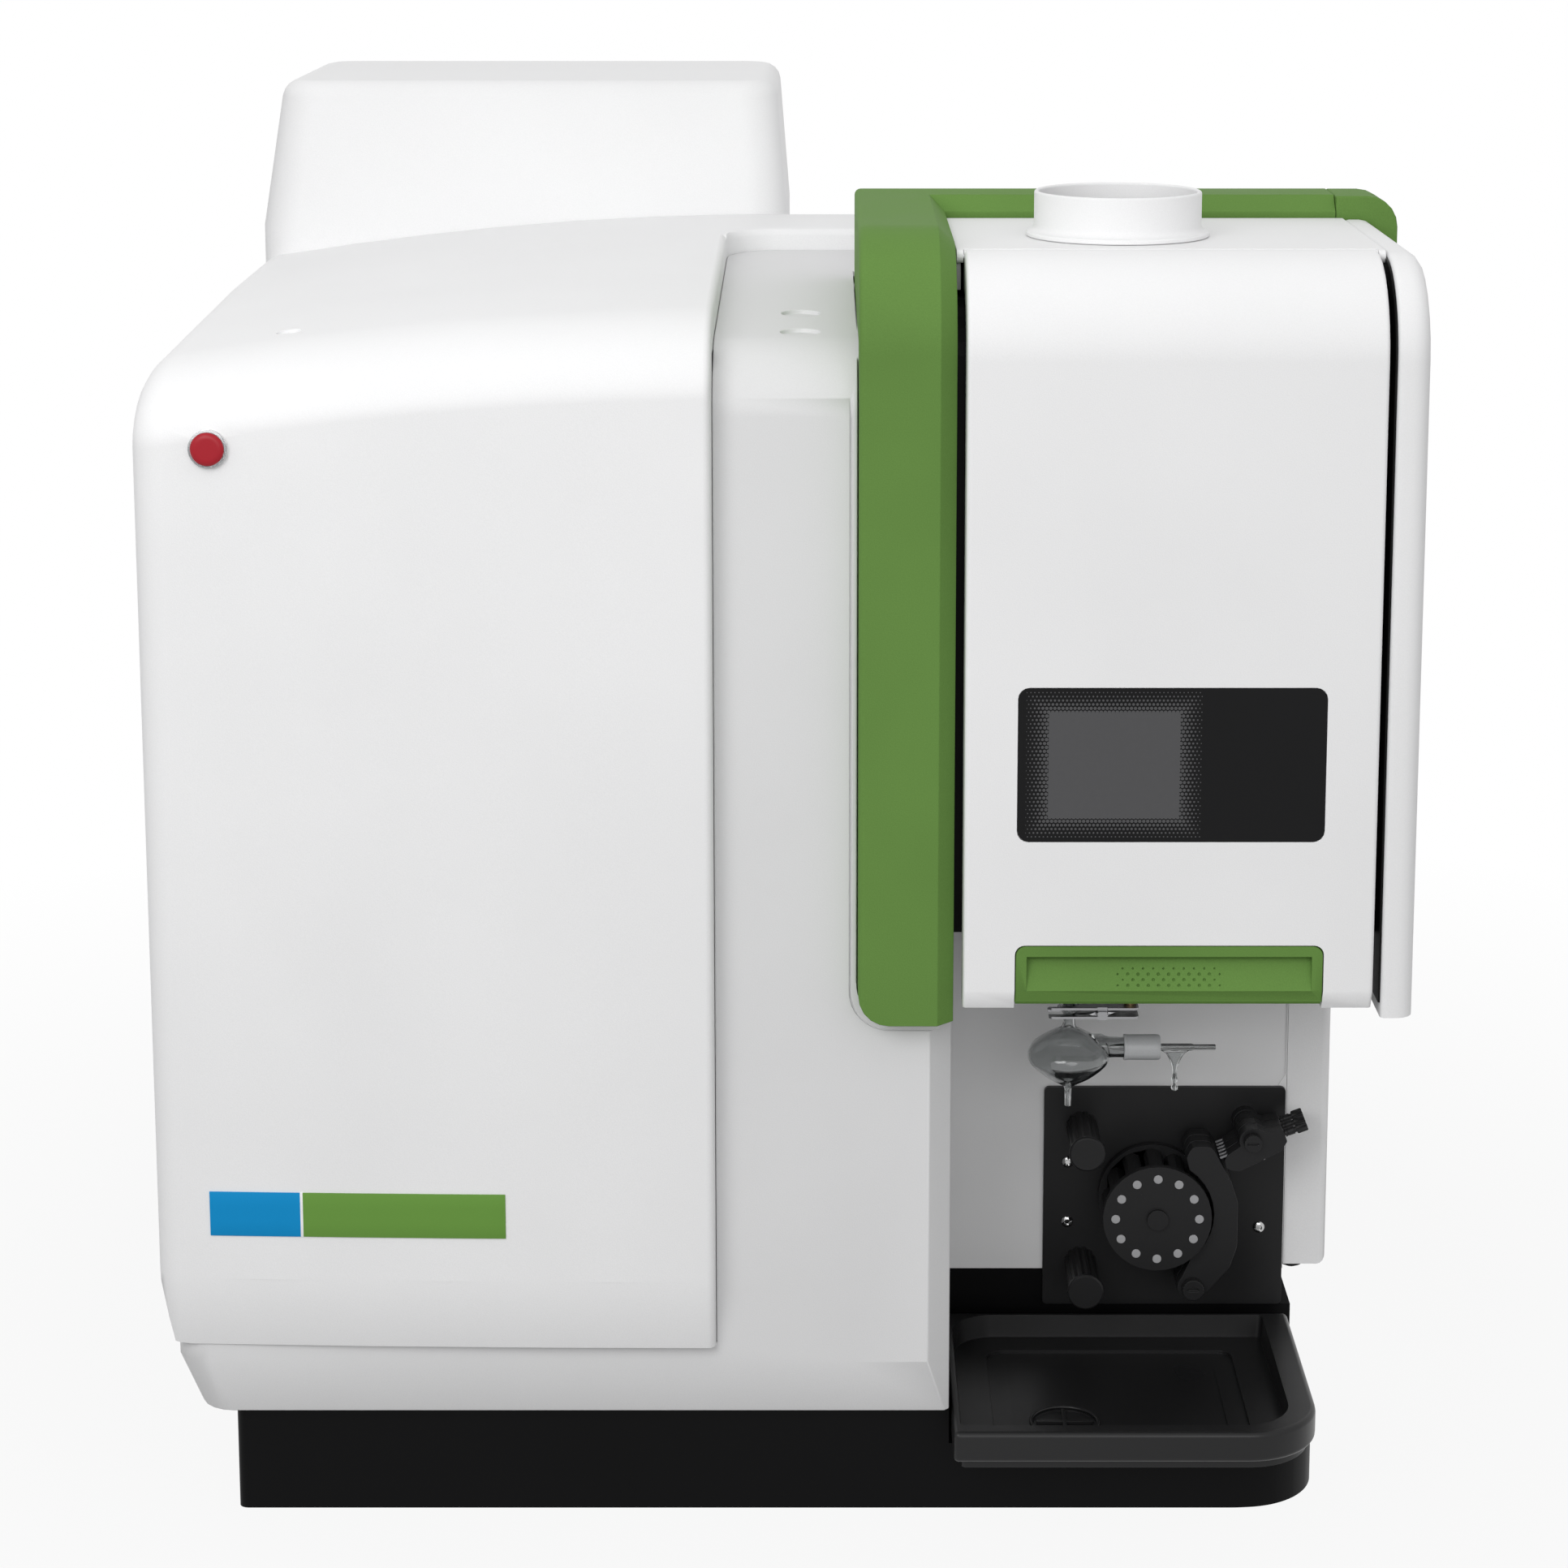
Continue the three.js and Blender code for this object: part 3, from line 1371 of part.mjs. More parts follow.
function torchBox() {
  const y = frontY + boxFrontSet;
  const rear = frontY + boxRearSet;
  const rollTop = hingeHeight - hingeRadius - (doorRollRadius - boxRollRadius - 2 * hingeRadius);
  const top = doorTopHeight - coverWall - seat;
  const front = roll(y, rollTop, boxRollRadius, boxRollRadius);
  const lip = frontY + boxLipSet;
  const outline = [[y, boxFloorHeight], ...front, [lip, top], [rear, top], [rear, boxFloorHeight]];
  const [x0, x1] = [doorX + boxSideInset, doorRightX - boxSideInset];
  const inside = [
    [y - overrun, boxFloorHeight + boxWall],
    [y - overrun, rollTop - boxFlangeThickness],
    [lip - boxWall, rollTop - boxFlangeThickness],
    [lip + boxWall, top - boxWall],
    [rear - boxWall, top - boxWall],
    [rear - boxWall, boxFloorHeight + boxWall],
  ];
  const hollow = prism(inside, "yz", x0 + boxWall, x1 - boxWall);
  const flangeOutline = [
    [y, boxFloorHeight],
    ...front,
    ...roll(
      y + boxFlangeThickness, rollTop - boxFlangeThickness,
      boxRollRadius - boxFlangeThickness, boxRollRadius - boxFlangeThickness,
    ).reverse(),
    [y + boxFlangeThickness, boxFloorHeight],
  ];
  const flanges = joined(
    prism(flangeOutline, "yz", pillarRightX + boxFlangeGap, x0 + boxWall),
    prism(flangeOutline, "yz", x1 - boxWall, sideCoverX - boxFlangeGap),
  );
  const mountHole = bar("z", [torchX, torchY, boxFloorHeight], -overrun, overrun, mountRadius + seat);
  const ductHole = bar("z", [collarX, collarY, top], -overrun, overrun, spigotRadius + seat, 32);
  const coilMiddle = coilHeight + coilPitch / 2 + coilThickness / 2;
  const snoutHole = bar("x", [x0, torchY, coilMiddle], -overrun, overrun, snoutRadius + seat);
  return cut(joined(cut(prism(outline, "yz", x0, x1), hollow), flanges), mountHole, ductHole, snoutHole);
}

function bayLiner() {
  const ceiling = boxFloorHeight - seat;
  const back = box(bayX, sidePanelX - seat, bayY, bayY + sheetWall, rimHeight + seat, ceiling);
  const roof = box(
    bayX, sidePanelRightX - seat, frontY + ceilingSet, bayY + sheetWall, ceiling - sheetWall, ceiling,
  );
  const mountHole = bar("z", [torchX, torchY, ceiling], -overrun, overrun, mountRadius + seat);
  const motorHole = bar("y", [drumX, bayY, drumHeight], -overrun, overrun, motorRadius + seat);
  return cut(joined(back, roof), mountHole, motorHole);
}

// Torch door, window, handle and hinge pin

const windowX = doorX + windowInset;
const windowBottomHeight = doorBottomHeight + windowLift;
const handleX = doorX + handleInset;
const handleBottomHeight = doorBottomHeight + handleLift;
const handleTopHeight = handleBottomHeight + handleHeight;

function torchDoor() {
  const outerSection = (inset) => {
    const y = frontY + inset;
    const radius = doorRollRadius - inset;
    return [
      [y + doorChamferDepth, doorBottomHeight],
      [y, doorBottomHeight + doorChamferHeight],
      ...roll(y, doorTopHeight - inset, radius, radius, 8),
      [hingeY, doorBottomHeight],
    ];
  };
  const behind = (depth, bottom) => {
    const radius = doorRollRadius - depth;
    const y = frontY + depth;
    return [
      [y, bottom],
      ...roll(y, doorTopHeight - depth, radius, radius, 8),
      [hingeY + overrun, doorTopHeight - depth],
      [hingeY + overrun, bottom],
    ];
  };
  const outer = sweptX(stations(doorX, doorRightX, doorEdgeRadius, doorEdgeRadius, 1, 3), (x, inset) =>
    outerSection(inset));
  const rest = behind(doorDepth, doorBottomHeight - overrun);
  const backCut = prism(rest, "yz", doorX - overrun, doorRightX + overrun);
  const hollow = prism(
    behind(coverWall, doorBottomHeight + coverWall), "yz", doorX + coverWall, doorRightX - coverWall,
  );
  const [w0, w1] = [windowX - seat, windowX + windowWidth + seat];
  const [h0, h1] = [windowBottomHeight - seat, windowBottomHeight + windowHeight + seat];
  const rebate = prism(
    rectangle(w0, w1, h0, h1, windowCornerRadius), "xz", frontY - overrun, frontY + windowThickness + seat,
  );
  const pane = prism(
    rectangle(
      w0 + windowLedge, w1 - windowLedge, h0 + windowLedge, h1 - windowLedge, windowCornerRadius - windowLedge,
    ),
    "xz", frontY - overrun, frontY + doorDepth,
  );
  const notch = prism(
    rounded([
      [handleX - handleGap, doorBottomHeight - overrun, 0],
      [handleX + handleWidth + handleGap, doorBottomHeight - overrun, 0],
      [handleX + handleWidth + handleGap, handleTopHeight + handleGap, handleCornerRadius],
      [handleX - handleGap, handleTopHeight + handleGap, handleCornerRadius],
    ]),
    "xz", frontY - overrun, frontY + doorDepth + overrun,
  );
  const barrel = bar("x", [0, hingeY, hingeHeight], doorX, doorRightX, hingeRadius, 16);
  const boreRadius = hingePinRadius + turningGap;
  const pin = bar("x", [0, hingeY, hingeHeight], doorX - overrun, doorRightX + overrun, boreRadius, 12);
  return cut(joined(cut(outer, backCut, hollow, rebate, pane, notch), barrel), pin);
}

function doorHingePin() {
  const [from, to] = [doorX - lugWidth + seat, doorRightX + lugWidth - seat];
  return bar("x", [0, hingeY, hingeHeight], from, to, hingePinRadius, 12);
}

function doorWindow() {
  const outline = rectangle(
    windowX, windowX + windowWidth, windowBottomHeight, windowBottomHeight + windowHeight, windowCornerRadius,
  );
  return prism(outline, "xz", frontY, frontY + windowThickness);
}

function doorHandle() {
  const [x0, x1] = [handleX, handleX + handleWidth];
  const [z0, z1] = [handleBottomHeight, handleTopHeight];
  const profile = [
    [frontY, z1],
    [frontY, z0 + handleLip],
    [frontY + handleLipBevel, z0],
    [frontY + handleDepth, z0],
    [frontY + handleDepth, z1],
  ];
  const face = rounded([
    [x0, z0 - overrun, 0],
    [x1, z0 - overrun, 0],
    [x1, z1, handleCornerRadius],
    [x0, z1, handleCornerRadius],
  ]);
  const block = prism(profile, "yz", x0, x1).intersect(prism(face, "xz", frontY - overrun, frontY + overrun));
  const flangeFront = frontY + coverWall + seat;
  const flange = box(
    x0 - handleFlange, x1 + handleFlange, flangeFront, flangeFront + handleFlangeThickness,
    doorBottomHeight + coverWall + seat, z1 + handleFlange,
  );
  const scoopTop = z1 - handleBorder;
  const scoop = prism(
    [
      [frontY - overrun, z0 + handleLip],
      [frontY, z0 + handleLip],
      [frontY + handleScoop, scoopTop - handleScoop / 2],
      [frontY + handleScoop / 2, scoopTop],
      [frontY - overrun, scoopTop],
    ],
    "yz", x0 + handleBorder, x1 - handleBorder,
  );
  const gripBack = frontY + handleScoop + handleScoopWall;
  const hollow = box(
    x0 + handleBorder, x1 - handleBorder, gripBack, frontY + handleDepth + overrun,
    z0 - overrun, z1 - coverWall,
  );
  return cut(joined(block, flange), scoop, hollow);
}

// Standby button, in a group of its own at the cover's surface

const buttonGroup = groupAt(leftX + buttonInset, coverFrontY(leftX + buttonInset), buttonHeight);

function standbyButton() {
  const back = -buttonProud + buttonThickness;
  const profile = [
    [0, -buttonProud],
    [buttonFaceRadius - buttonSideGap, -buttonProud],
    [buttonFaceRadius, -buttonProud + buttonSideGap],
    [buttonRadius, back - buttonThickness / 3],
    [buttonRadius, back],
    [stemRadius, back],
    [stemRadius, back + stemLength],
    [0, back + stemLength],
  ];
  return revolved("y", profile, [0, 0, 0], 24);
}

function buttonBezel() {
  const bore = buttonRadius + buttonSideGap;
  const flangeBack = -bezelStandoff;
  const profile = [
    [stemRadius + turningGap, flangeBack - bezelWeb],
    [bore, flangeBack - bezelWeb],
    [bore, -bezelProud],
    [bezelRadius, -bezelProud + bezelWeb / 2],
    [bezelRadius, flangeBack],
    [barrelRadius, flangeBack],
    [barrelRadius, barrelLength],
    [stemRadius + turningGap, barrelLength],
  ];
  return revolved("y", profile, [0, 0, 0], 24);
}

// Pump, in a group of its own at the drum's axis on the plate's face, with depths towards -Y

const pumpFaceY = bayY - seat - pumpPlateThickness;
const drumX = bayRightX - seat - drumInset;
const drumHeight = pumpPlateBottomHeight + drumLift;
const pump = groupAt(drumX, pumpFaceY, drumHeight);
const atShare = ([u, w]) => [u * drumRadius, w * drumRadius];
const [armPivotU, armPivotW] = atShare(armPivotShare);
const [leverPivotU, leverPivotW] = atShare(leverPivotShare);
const armsStart = drumStart + drumFlange + armSideGap;
const armsLength = drumLength - 2 * drumFlange - 2 * armSideGap;
const armWidth = (armsLength - (armCount - 1) * armGap) / armCount;

// An outline in the pump's group, extruded between two depths in front of the plate.
const pumpSlab = (outline, from, to) => prism(outline, "xz", -to, -from);
const pumpBar = (u, w, from, to, radius, sides = 20) => bar("y", [u, 0, w], -to, -from, radius, sides);

function pumpPlate() {
  const left = drumInset - pumpPlateWidth;
  const outline = rectangle(left, drumInset, -drumLift, pumpPlateHeight - drumLift, pumpPlateRadius);
  const pivots = [[armPivotU, armPivotW], [leverPivotU, leverPivotW]];
  const spacers = pivots.map(([u, w]) => pumpBar(u, w, -sheetWall, armsStart - armGap, spacerRadius));
  const bores = pivots.map(([u, w]) => pumpBar(u, w, -overrun, overrun, pivotRadius + seat, 16));
  const plate = pumpSlab(outline, -pumpPlateThickness, 0);
  const shaftHole = pumpBar(0, 0, -overrun, overrun, pumpShaftRadius + turningGap);
  return cut(joined(plate, ...spacers), ...bores, shaftHole);
}

function pumpRotor() {
  const rollersEnd = drumStart + drumLength - drumFlange;
  const rollers = Array.from({ length: rollerCount }, (unused, k) => {
    const angle = (2 * Math.PI * k) / rollerCount;
    const [u, w] = [rollerRingRadius * Math.cos(angle), rollerRingRadius * Math.sin(angle)];
    const roller = pumpBar(u, w, drumStart + drumFlange / 2, rollersEnd + drumFlange / 2, rollerRadius, 8);
    const axle = pumpBar(u, w, rollersEnd, drumStart + drumLength + rollerAxleProud, rollerAxleRadius, 6);
    return roller.add(axle);
  });
  return joined(
    pumpBar(0, 0, drumStart, drumStart + drumFlange, drumRadius, 36),
    pumpBar(0, 0, rollersEnd, drumStart + drumLength, drumRadius, 36),
    pumpBar(0, 0, drumStart, rollersEnd + drumFlange / 2, drumCoreRadius, 12),
    pumpBar(0, 0, rollersEnd, drumStart + drumLength + drumHubProud, drumHubRadius, 20),
    pumpBar(0, 0, -pumpShaftReach, drumStart + drumFlange, pumpShaftRadius, 20),
    ...rollers,
  );
}

function pumpMotor() {
  const start = -pumpPlateThickness - seat;
  const body = pumpBar(0, 0, start - motorLength, start, motorRadius);
  const cap = pumpBar(0, 0, start - motorLength - motorCapLength, start - motorLength, motorCapRadius);
  const bore = pumpBar(0, 0, -pumpShaftReach - turningGap, overrun, pumpShaftRadius + turningGap, 20);
  return cut(joined(body, cap), bore);
}

// The depth at which the arm and lever in one of the slots begin, counted from the plate.
const slotStart = (slot) => armsStart + slot * (armWidth + armGap);

function pressureArm(slot) {
  const [from, to] = [slotStart(slot), slotStart(slot) + armWidth];
  const trackRadius = rollerRingRadius + rollerRadius + trackGap;
  const outer = armOuterShares.map(([u, w, corner]) => [...atShare([u, w]), corner * drumRadius]);
  const track = arc(0, 0, trackRadius, trackStartDegrees, trackEndDegrees, 10).map(([u, w]) => [u, w, 0]);
  const foot = armFootShares.map(([u, w]) => [...atShare([u, w]), 0]);
  const plate = pumpSlab(rounded([...outer, ...track, ...foot], 2), from, to);
  const boss = pumpBar(armPivotU, armPivotW, from, to, armBossRadius);
  const bore = pumpBar(armPivotU, armPivotW, from - overrun, to + overrun, pivotRadius + turningGap, 16);
  return cut(joined(plate, boss), bore);
}

const knobStart = [
  leverPivotU + knobStartShare[0] * drumRadius,
  leverPivotW + knobStartShare[1] * drumRadius,
];

function camLever(slot) {
  const [from, to] = [slotStart(slot), slotStart(slot) + armWidth];
  const outline = leverOuterShares.map(([u, w, corner]) => [
    leverPivotU + u * drumRadius,
    leverPivotW + w * drumRadius,
    corner * drumRadius,
  ]);
  const body = pumpSlab(rounded(outline, 2), from, to);
  const boss = pumpBar(leverPivotU, leverPivotW, from, to, leverBossRadius);
  const boreRadius = pivotRadius + turningGap;
  const pinBore = pumpBar(leverPivotU, leverPivotW, from - overrun, to + overrun, boreRadius, 16);
  const radius = knobStudRadius + turningGap;
  const studBore = revolved(
    "x",
    [
      [0, -knobStudLength - turningGap],
      [radius, -knobStudLength - turningGap],
      [radius, overrun],
      [0, overrun],
    ],
    [knobStart[0], -(from + to) / 2, knobStart[1]], 12, knobTilt,
  );
  return cut(joined(body, boss), pinBore, studBore);
}

function adjustingScrew(slot) {
  const middle = slotStart(slot) + armWidth / 2;
  const neckStart = knobGap + knobShankLength;
  const headStart = neckStart + knobNeckLength;
  const headEnd = headStart + knobHeadLength;
  const profile = [
    [0, -knobStudLength],
    [knobStudRadius, -knobStudLength],
    [knobStudRadius, knobGap],
    [knobShankRadius, knobGap],
    [knobShankRadius, neckStart],
    [knobNeckRadius, neckStart],
    [knobNeckRadius, headStart],
    [knobHeadRadius - knobHeadBevel, headStart],
    [knobHeadRadius, headStart + knobHeadBevel],
    [knobHeadRadius, headEnd - knobHeadBevel],
    [knobHeadRadius - knobHeadBevel, headEnd],
    [0, headEnd],
  ];
  return revolved("x", profile, [knobStart[0], -middle, knobStart[1]], 10, knobTilt);
}

// A fixed pin with a knurled, slotted head.
function pivotPin(u, w, headRadius) {
  const shankEnd = armsStart + armsLength + armGap;
  const headEnd = shankEnd + pivotHeadLength;
  const shank = pumpBar(u, w, -pivotSink, shankEnd + pivotHeadLength / 2, pivotRadius, 16);
  const knurl = Array.from({ length: 2 * knurlCount }, (unused, k) => {
    const angle = (Math.PI * k) / knurlCount;
    const radius = headRadius - (k % 2) * knurlDepth;
    return [u + radius * Math.cos(angle), w + radius * Math.sin(angle)];
  });
  const head = pumpSlab(knurl, shankEnd, headEnd);
  const slot = box(
    u - pivotRadius, u + pivotRadius, -headEnd - overrun, -headEnd + pivotSlotDepth,
    w - pivotSlotWidth / 2, w + pivotSlotWidth / 2,
  );
  return cut(joined(shank, head), slot);
}

function tubePost([u, w]) {
  const pointCount = 3 * postFluteCount;
  const fluted = Array.from({ length: pointCount }, (unused, k) => {
    const angle = (2 * Math.PI * k) / pointCount;
    const radius = postRadius - (k % 3 ? 0 : postFluteDepth);
    return [u + radius * Math.cos(angle), w + radius * Math.sin(angle)];
  });
  const capProfile = [
    [0, -postLength - postCapLength],
    [postCapRadius - postCapBevel, -postLength - postCapLength],
    [postCapRadius, -postLength - postCapLength + postCapBevel],
    [postCapRadius, -postLength],
    [0, -postLength],
  ];
  return joined(pumpSlab(fluted, seat, postLength), revolved("y", capProfile, [u, 0, w]));
}

// Glassware and its clamp, in a group at the torch's axis in the middle of the spray chamber

const glassware = groupAt(torchX, torchY, chamberHeight);
const endCapX = sideTubeReach - endCapSleeve;
const nebulizerX = endCapX + nebulizerSink;

function sprayChamber() {
  const outerProfile = (inset) => [
    [drainRadius - inset, -chamberRise],
    ...chamberShares.map(([radiusShare, riseShare]) => [
      radiusShare * chamberRadius - inset,
      riseShare * chamberRise - Math.sign(riseShare) * inset,
    ]),
    [neckRadius - inset, chamberRise - inset],
  ];
  const ballStart = ballRise - Math.sqrt(ballRadius ** 2 - neckRadius ** 2);
  const neckDegrees = Math.acos(neckRadius / ballRadius) * THREE.MathUtils.RAD2DEG;
  const ball = arc(0, ballRise, ballRadius, -neckDegrees, 50, 6);
  const shell = revolved(
    "z",
    [
      [0, -chamberRise - drainLength],
      [drainRadius, -chamberRise - drainLength],
      ...outerProfile(0),
      [neckRadius, ballStart - seat],
      ...ball,
      [0, ball[ball.length - 1][1]],
    ],
    [0, 0, 0], 18,
  );
  const inside = revolved(
    "z",
    [
      [0, -chamberRise - overrun],
      [drainRadius - glassWall, -chamberRise - overrun],
      ...outerProfile(glassWall),
      [neckRadius - glassWall, ballRise + overrun],
      [0, ballRise + overrun],
    ],
    [0, 0, 0], 18,
  );
  const sideTube = bar("x", [0, 0, sideTubeRise], chamberRadius / 2, sideTubeReach, sideTubeRadius);
  const sideBoreRadius = sideTubeRadius - glassWall;
  const sideBore = bar("x", [0, 0, sideTubeRise], chamberRadius / 2, sideTubeReach + overrun, sideBoreRadius);
  return cut(joined(shell, sideTube), inside, sideBore);
}

function endCap() {
  const end = endCapX + endCapLength;
  const sleeveRadius = sideTubeRadius + seat;
  const boreRadius = nebulizerRadius + seat;
  const profile = [
    [sleeveRadius, endCapX],
    [endCapRadius, endCapX],
    [endCapRadius, end - endCapChamfer],
    [endCapRadius - endCapChamfer, end],
    [boreRadius, end],
    [boreRadius, sideTubeReach + seat],
    [sleeveRadius, sideTubeReach + seat],
  ];
  return revolved("x", profile, [0, 0, sideTubeRise]);
}

function nebulizer() {
  const end = nebulizerX + nebulizerLength - nebulizerSink;
  const tipStart = end + nebulizerShoulder;
  const body = revolved(
    "x",
    [
      [0, nebulizerX - nebulizerSink + endCapSleeve + seat],
      [nebulizerRadius, nebulizerX - nebulizerSink + endCapSleeve + seat],
      [nebulizerRadius, end],
      [nebulizerTipRadius, tipStart],
      [nebulizerTipRadius, tipStart + nebulizerTipLength],
      [0, tipStart + nebulizerTipLength],
    ],
    [0, 0, sideTubeRise], 16,
  );
  const armX = end - nebulizerArmSetback;
  const arm = revolved(
    "z",
    [
      [0, -nebulizerArmDrop],
      [nebulizerArmRadius, -nebulizerArmDrop],
      [nebulizerBarbRadius, -nebulizerArmDrop + 2 * nebulizerArmRadius],
      [nebulizerArmRadius, -nebulizerArmDrop + 3 * nebulizerArmRadius],
      [nebulizerArmRadius, -nebulizerFunnelRadius - 2 * nebulizerRadius],
      [nebulizerFunnelRadius, -nebulizerRadius / 2],
      [0, -nebulizerRadius / 2],
    ],
    [armX, 0, sideTubeRise], 14,
  );
  return joined(body, arm);
}

// Heights of the clamp's two forks, under the ball and over the socket.
const slotRadius = neckRadius + seat;
const socketRadius = ballRadius + socketGap + socketWall;
const lowerForkTop = ballRise - Math.sqrt(ballRadius ** 2 - slotRadius ** 2) - seat;
const upperForkBottom = ballRise + Math.sqrt(socketRadius ** 2 - slotRadius ** 2) + seat;
const clampPivotHeight = (lowerForkTop + upperForkBottom) / 2;

function clampFork(bottom) {
  const half = clampWidth / 2;
  const outline = rounded([
    [-clampReach, -half, clampKnuckleRadius],
    [clampTail, -half, clampKnuckleRadius],
    [clampTail, half, clampKnuckleRadius],
    [-clampReach, half, clampKnuckleRadius],
    [-clampReach, slotRadius, 0],
    ...arc(0, 0, slotRadius, 90, -90, 8).map(([x, y]) => [x, y, 0]),
    [-clampReach, -slotRadius, 0],
  ], 3);
  return prism(outline, "xy", bottom, bottom + clampThickness);
}

function clampEar(y, from, to) {
  const outline = rectangle(
    clampPivotReach - clampKnuckleRadius, clampPivotReach + clampKnuckleRadius, from, to, clampThickness / 2, 2,
  );
  return prism(outline, "xz", y, y + clampThickness);
}

function lowerClamp() {
  const half = clampWidth / 2;
  const top = clampPivotHeight + clampKnuckleRadius;
  const ears = [-half, half - clampThickness].map((y) => clampEar(y, lowerForkTop - clampThickness, top));
  const pin = bar("y", [clampPivotReach, 0, clampPivotHeight], -half, half, clampPinRadius, 12);
  return joined(clampFork(lowerForkTop - clampThickness), ...ears, pin);
}

function upperClamp() {
  const reach = clampWidth / 2 - clampThickness - seat;
  const bottom = clampPivotHeight - clampKnuckleRadius;
  const top = upperForkBottom + clampThickness;
  const ears = [-reach, reach - clampThickness].map((y) => clampEar(y, bottom, top));
  const boreRadius = clampPinRadius + turningGap;
  const bore = bar("y", [clampPivotReach, 0, clampPivotHeight], -overrun, overrun, boreRadius, 12);
  const outerHalf = clampWidth / 2;
  const earSlots = [-outerHalf, outerHalf - clampThickness].map((y) =>
    box(
      clampPivotReach - clampKnuckleRadius - turningGap, clampPivotReach + clampKnuckleRadius + turningGap,
      y - seat, y + clampThickness + seat, upperForkBottom - seat, top + seat,
    ));
  const screwX = clampTail - clampScrewInset;
  const screw = joined(
    bar("z", [screwX, 0, 0], lowerForkTop + clampScrewClearance, top, clampScrewRadius, 12),
    bar("z", [screwX, 0, 0], top, top + clampScrewHeadLength, clampScrewHeadRadius, 16),
  );
  return joined(cut(joined(clampFork(upperForkBottom), ...ears), bore, ...earSlots), screw);
}

function injectorTube() {
  const innerRadius = ballRadius + socketGap;
  const openAngle = 12;
  const closeAngle = Math.acos(injectorBore / innerRadius) * THREE.MathUtils.RAD2DEG;
  const shoulderAngle = Math.acos(injectorRadius / socketRadius) * THREE.MathUtils.RAD2DEG;
  const profile = [
    ...arc(0, ballRise, innerRadius, openAngle, closeAngle, 4),
    [injectorBore, ballRise + injectorLength],
    [injectorRadius, ballRise + injectorLength],
    ...arc(0, ballRise, socketRadius, shoulderAngle, openAngle, 4),
  ];
  return revolved("z", profile, [0, 0, 0], 14);
}

// Torch, in the compartment above

const torch = groupAt(torchX, torchY, boxFloorHeight + boxWall + seat);

function torchMount() {
  const profile = [
    [injectorRadius + seat, -mountDrop],
    [mountRadius, -mountDrop],
    [mountRadius, 0],
    [mountFlangeRadius, 0],
    [mountFlangeRadius, mountFlangeThickness],
    [mountRadius, mountFlangeThickness],
    [mountRadius, mountRise],
    [torchRadius + seat, mountRise],
    [torchRadius + seat, mountRise - mountSocketDepth],
    [injectorRadius + seat, mountRise - mountSocketDepth],
  ];
  return revolved("z", profile, [0, 0, 0], 24);
}

function torchTube() {
  const start = mountRise - mountSocketDepth + seat;
  const inner = torchRadius - glassWall;
  const end = start + torchLength;
  const profile = [[inner, start], [torchRadius, start], [torchRadius, end], [inner, end]];
  return revolved("z", profile, [0, 0, 0], 28);
}

function loadPlate(level) {
  const z = coilHeight + level * coilPitch - boxFloorHeight - boxWall - seat;
  const half = coilWidth / 2;
  const rear = boxRearSet - boxWall - seat - torchSet;
  const outline = [
    [-half, rear],
    [-half, -coilFrontReach],
    [-coilSlot / 2, -coilFrontReach],
    ...arc(0, 0, coilBore, 270 - slotDegrees, 270 - 360 + slotDegrees, 24),
    [coilSlot / 2, -coilFrontReach],
    [half, -coilFrontReach],
    [half, rear],
  ];
  return prism(outline, "xy", z, z + coilThickness);
}


function opticsSnout() {
  const wallX = doorX + boxSideInset - torchX;
  const tip = -snoutTipClearance;
  const flangeX = wallX + boxWall + seat;
  const level = coilHeight + coilPitch / 2 + coilThickness / 2 - boxFloorHeight - boxWall - seat;
  const profile = [
    [snoutRadius - boxWall, wallX],
    [snoutRadius, wallX],
    [snoutRadius, flangeX],
    [snoutFlangeRadius, flangeX],
    [snoutFlangeRadius, flangeX + snoutFlangeThickness],
    [snoutRadius, flangeX + snoutFlangeThickness],
    [snoutTipRadius, tip],
    [snoutBore, tip],
    [snoutRadius - boxWall, flangeX + snoutFlangeThickness],
  ];
  return revolved("x", profile, [0, 0, level]);
}

// Drip tray

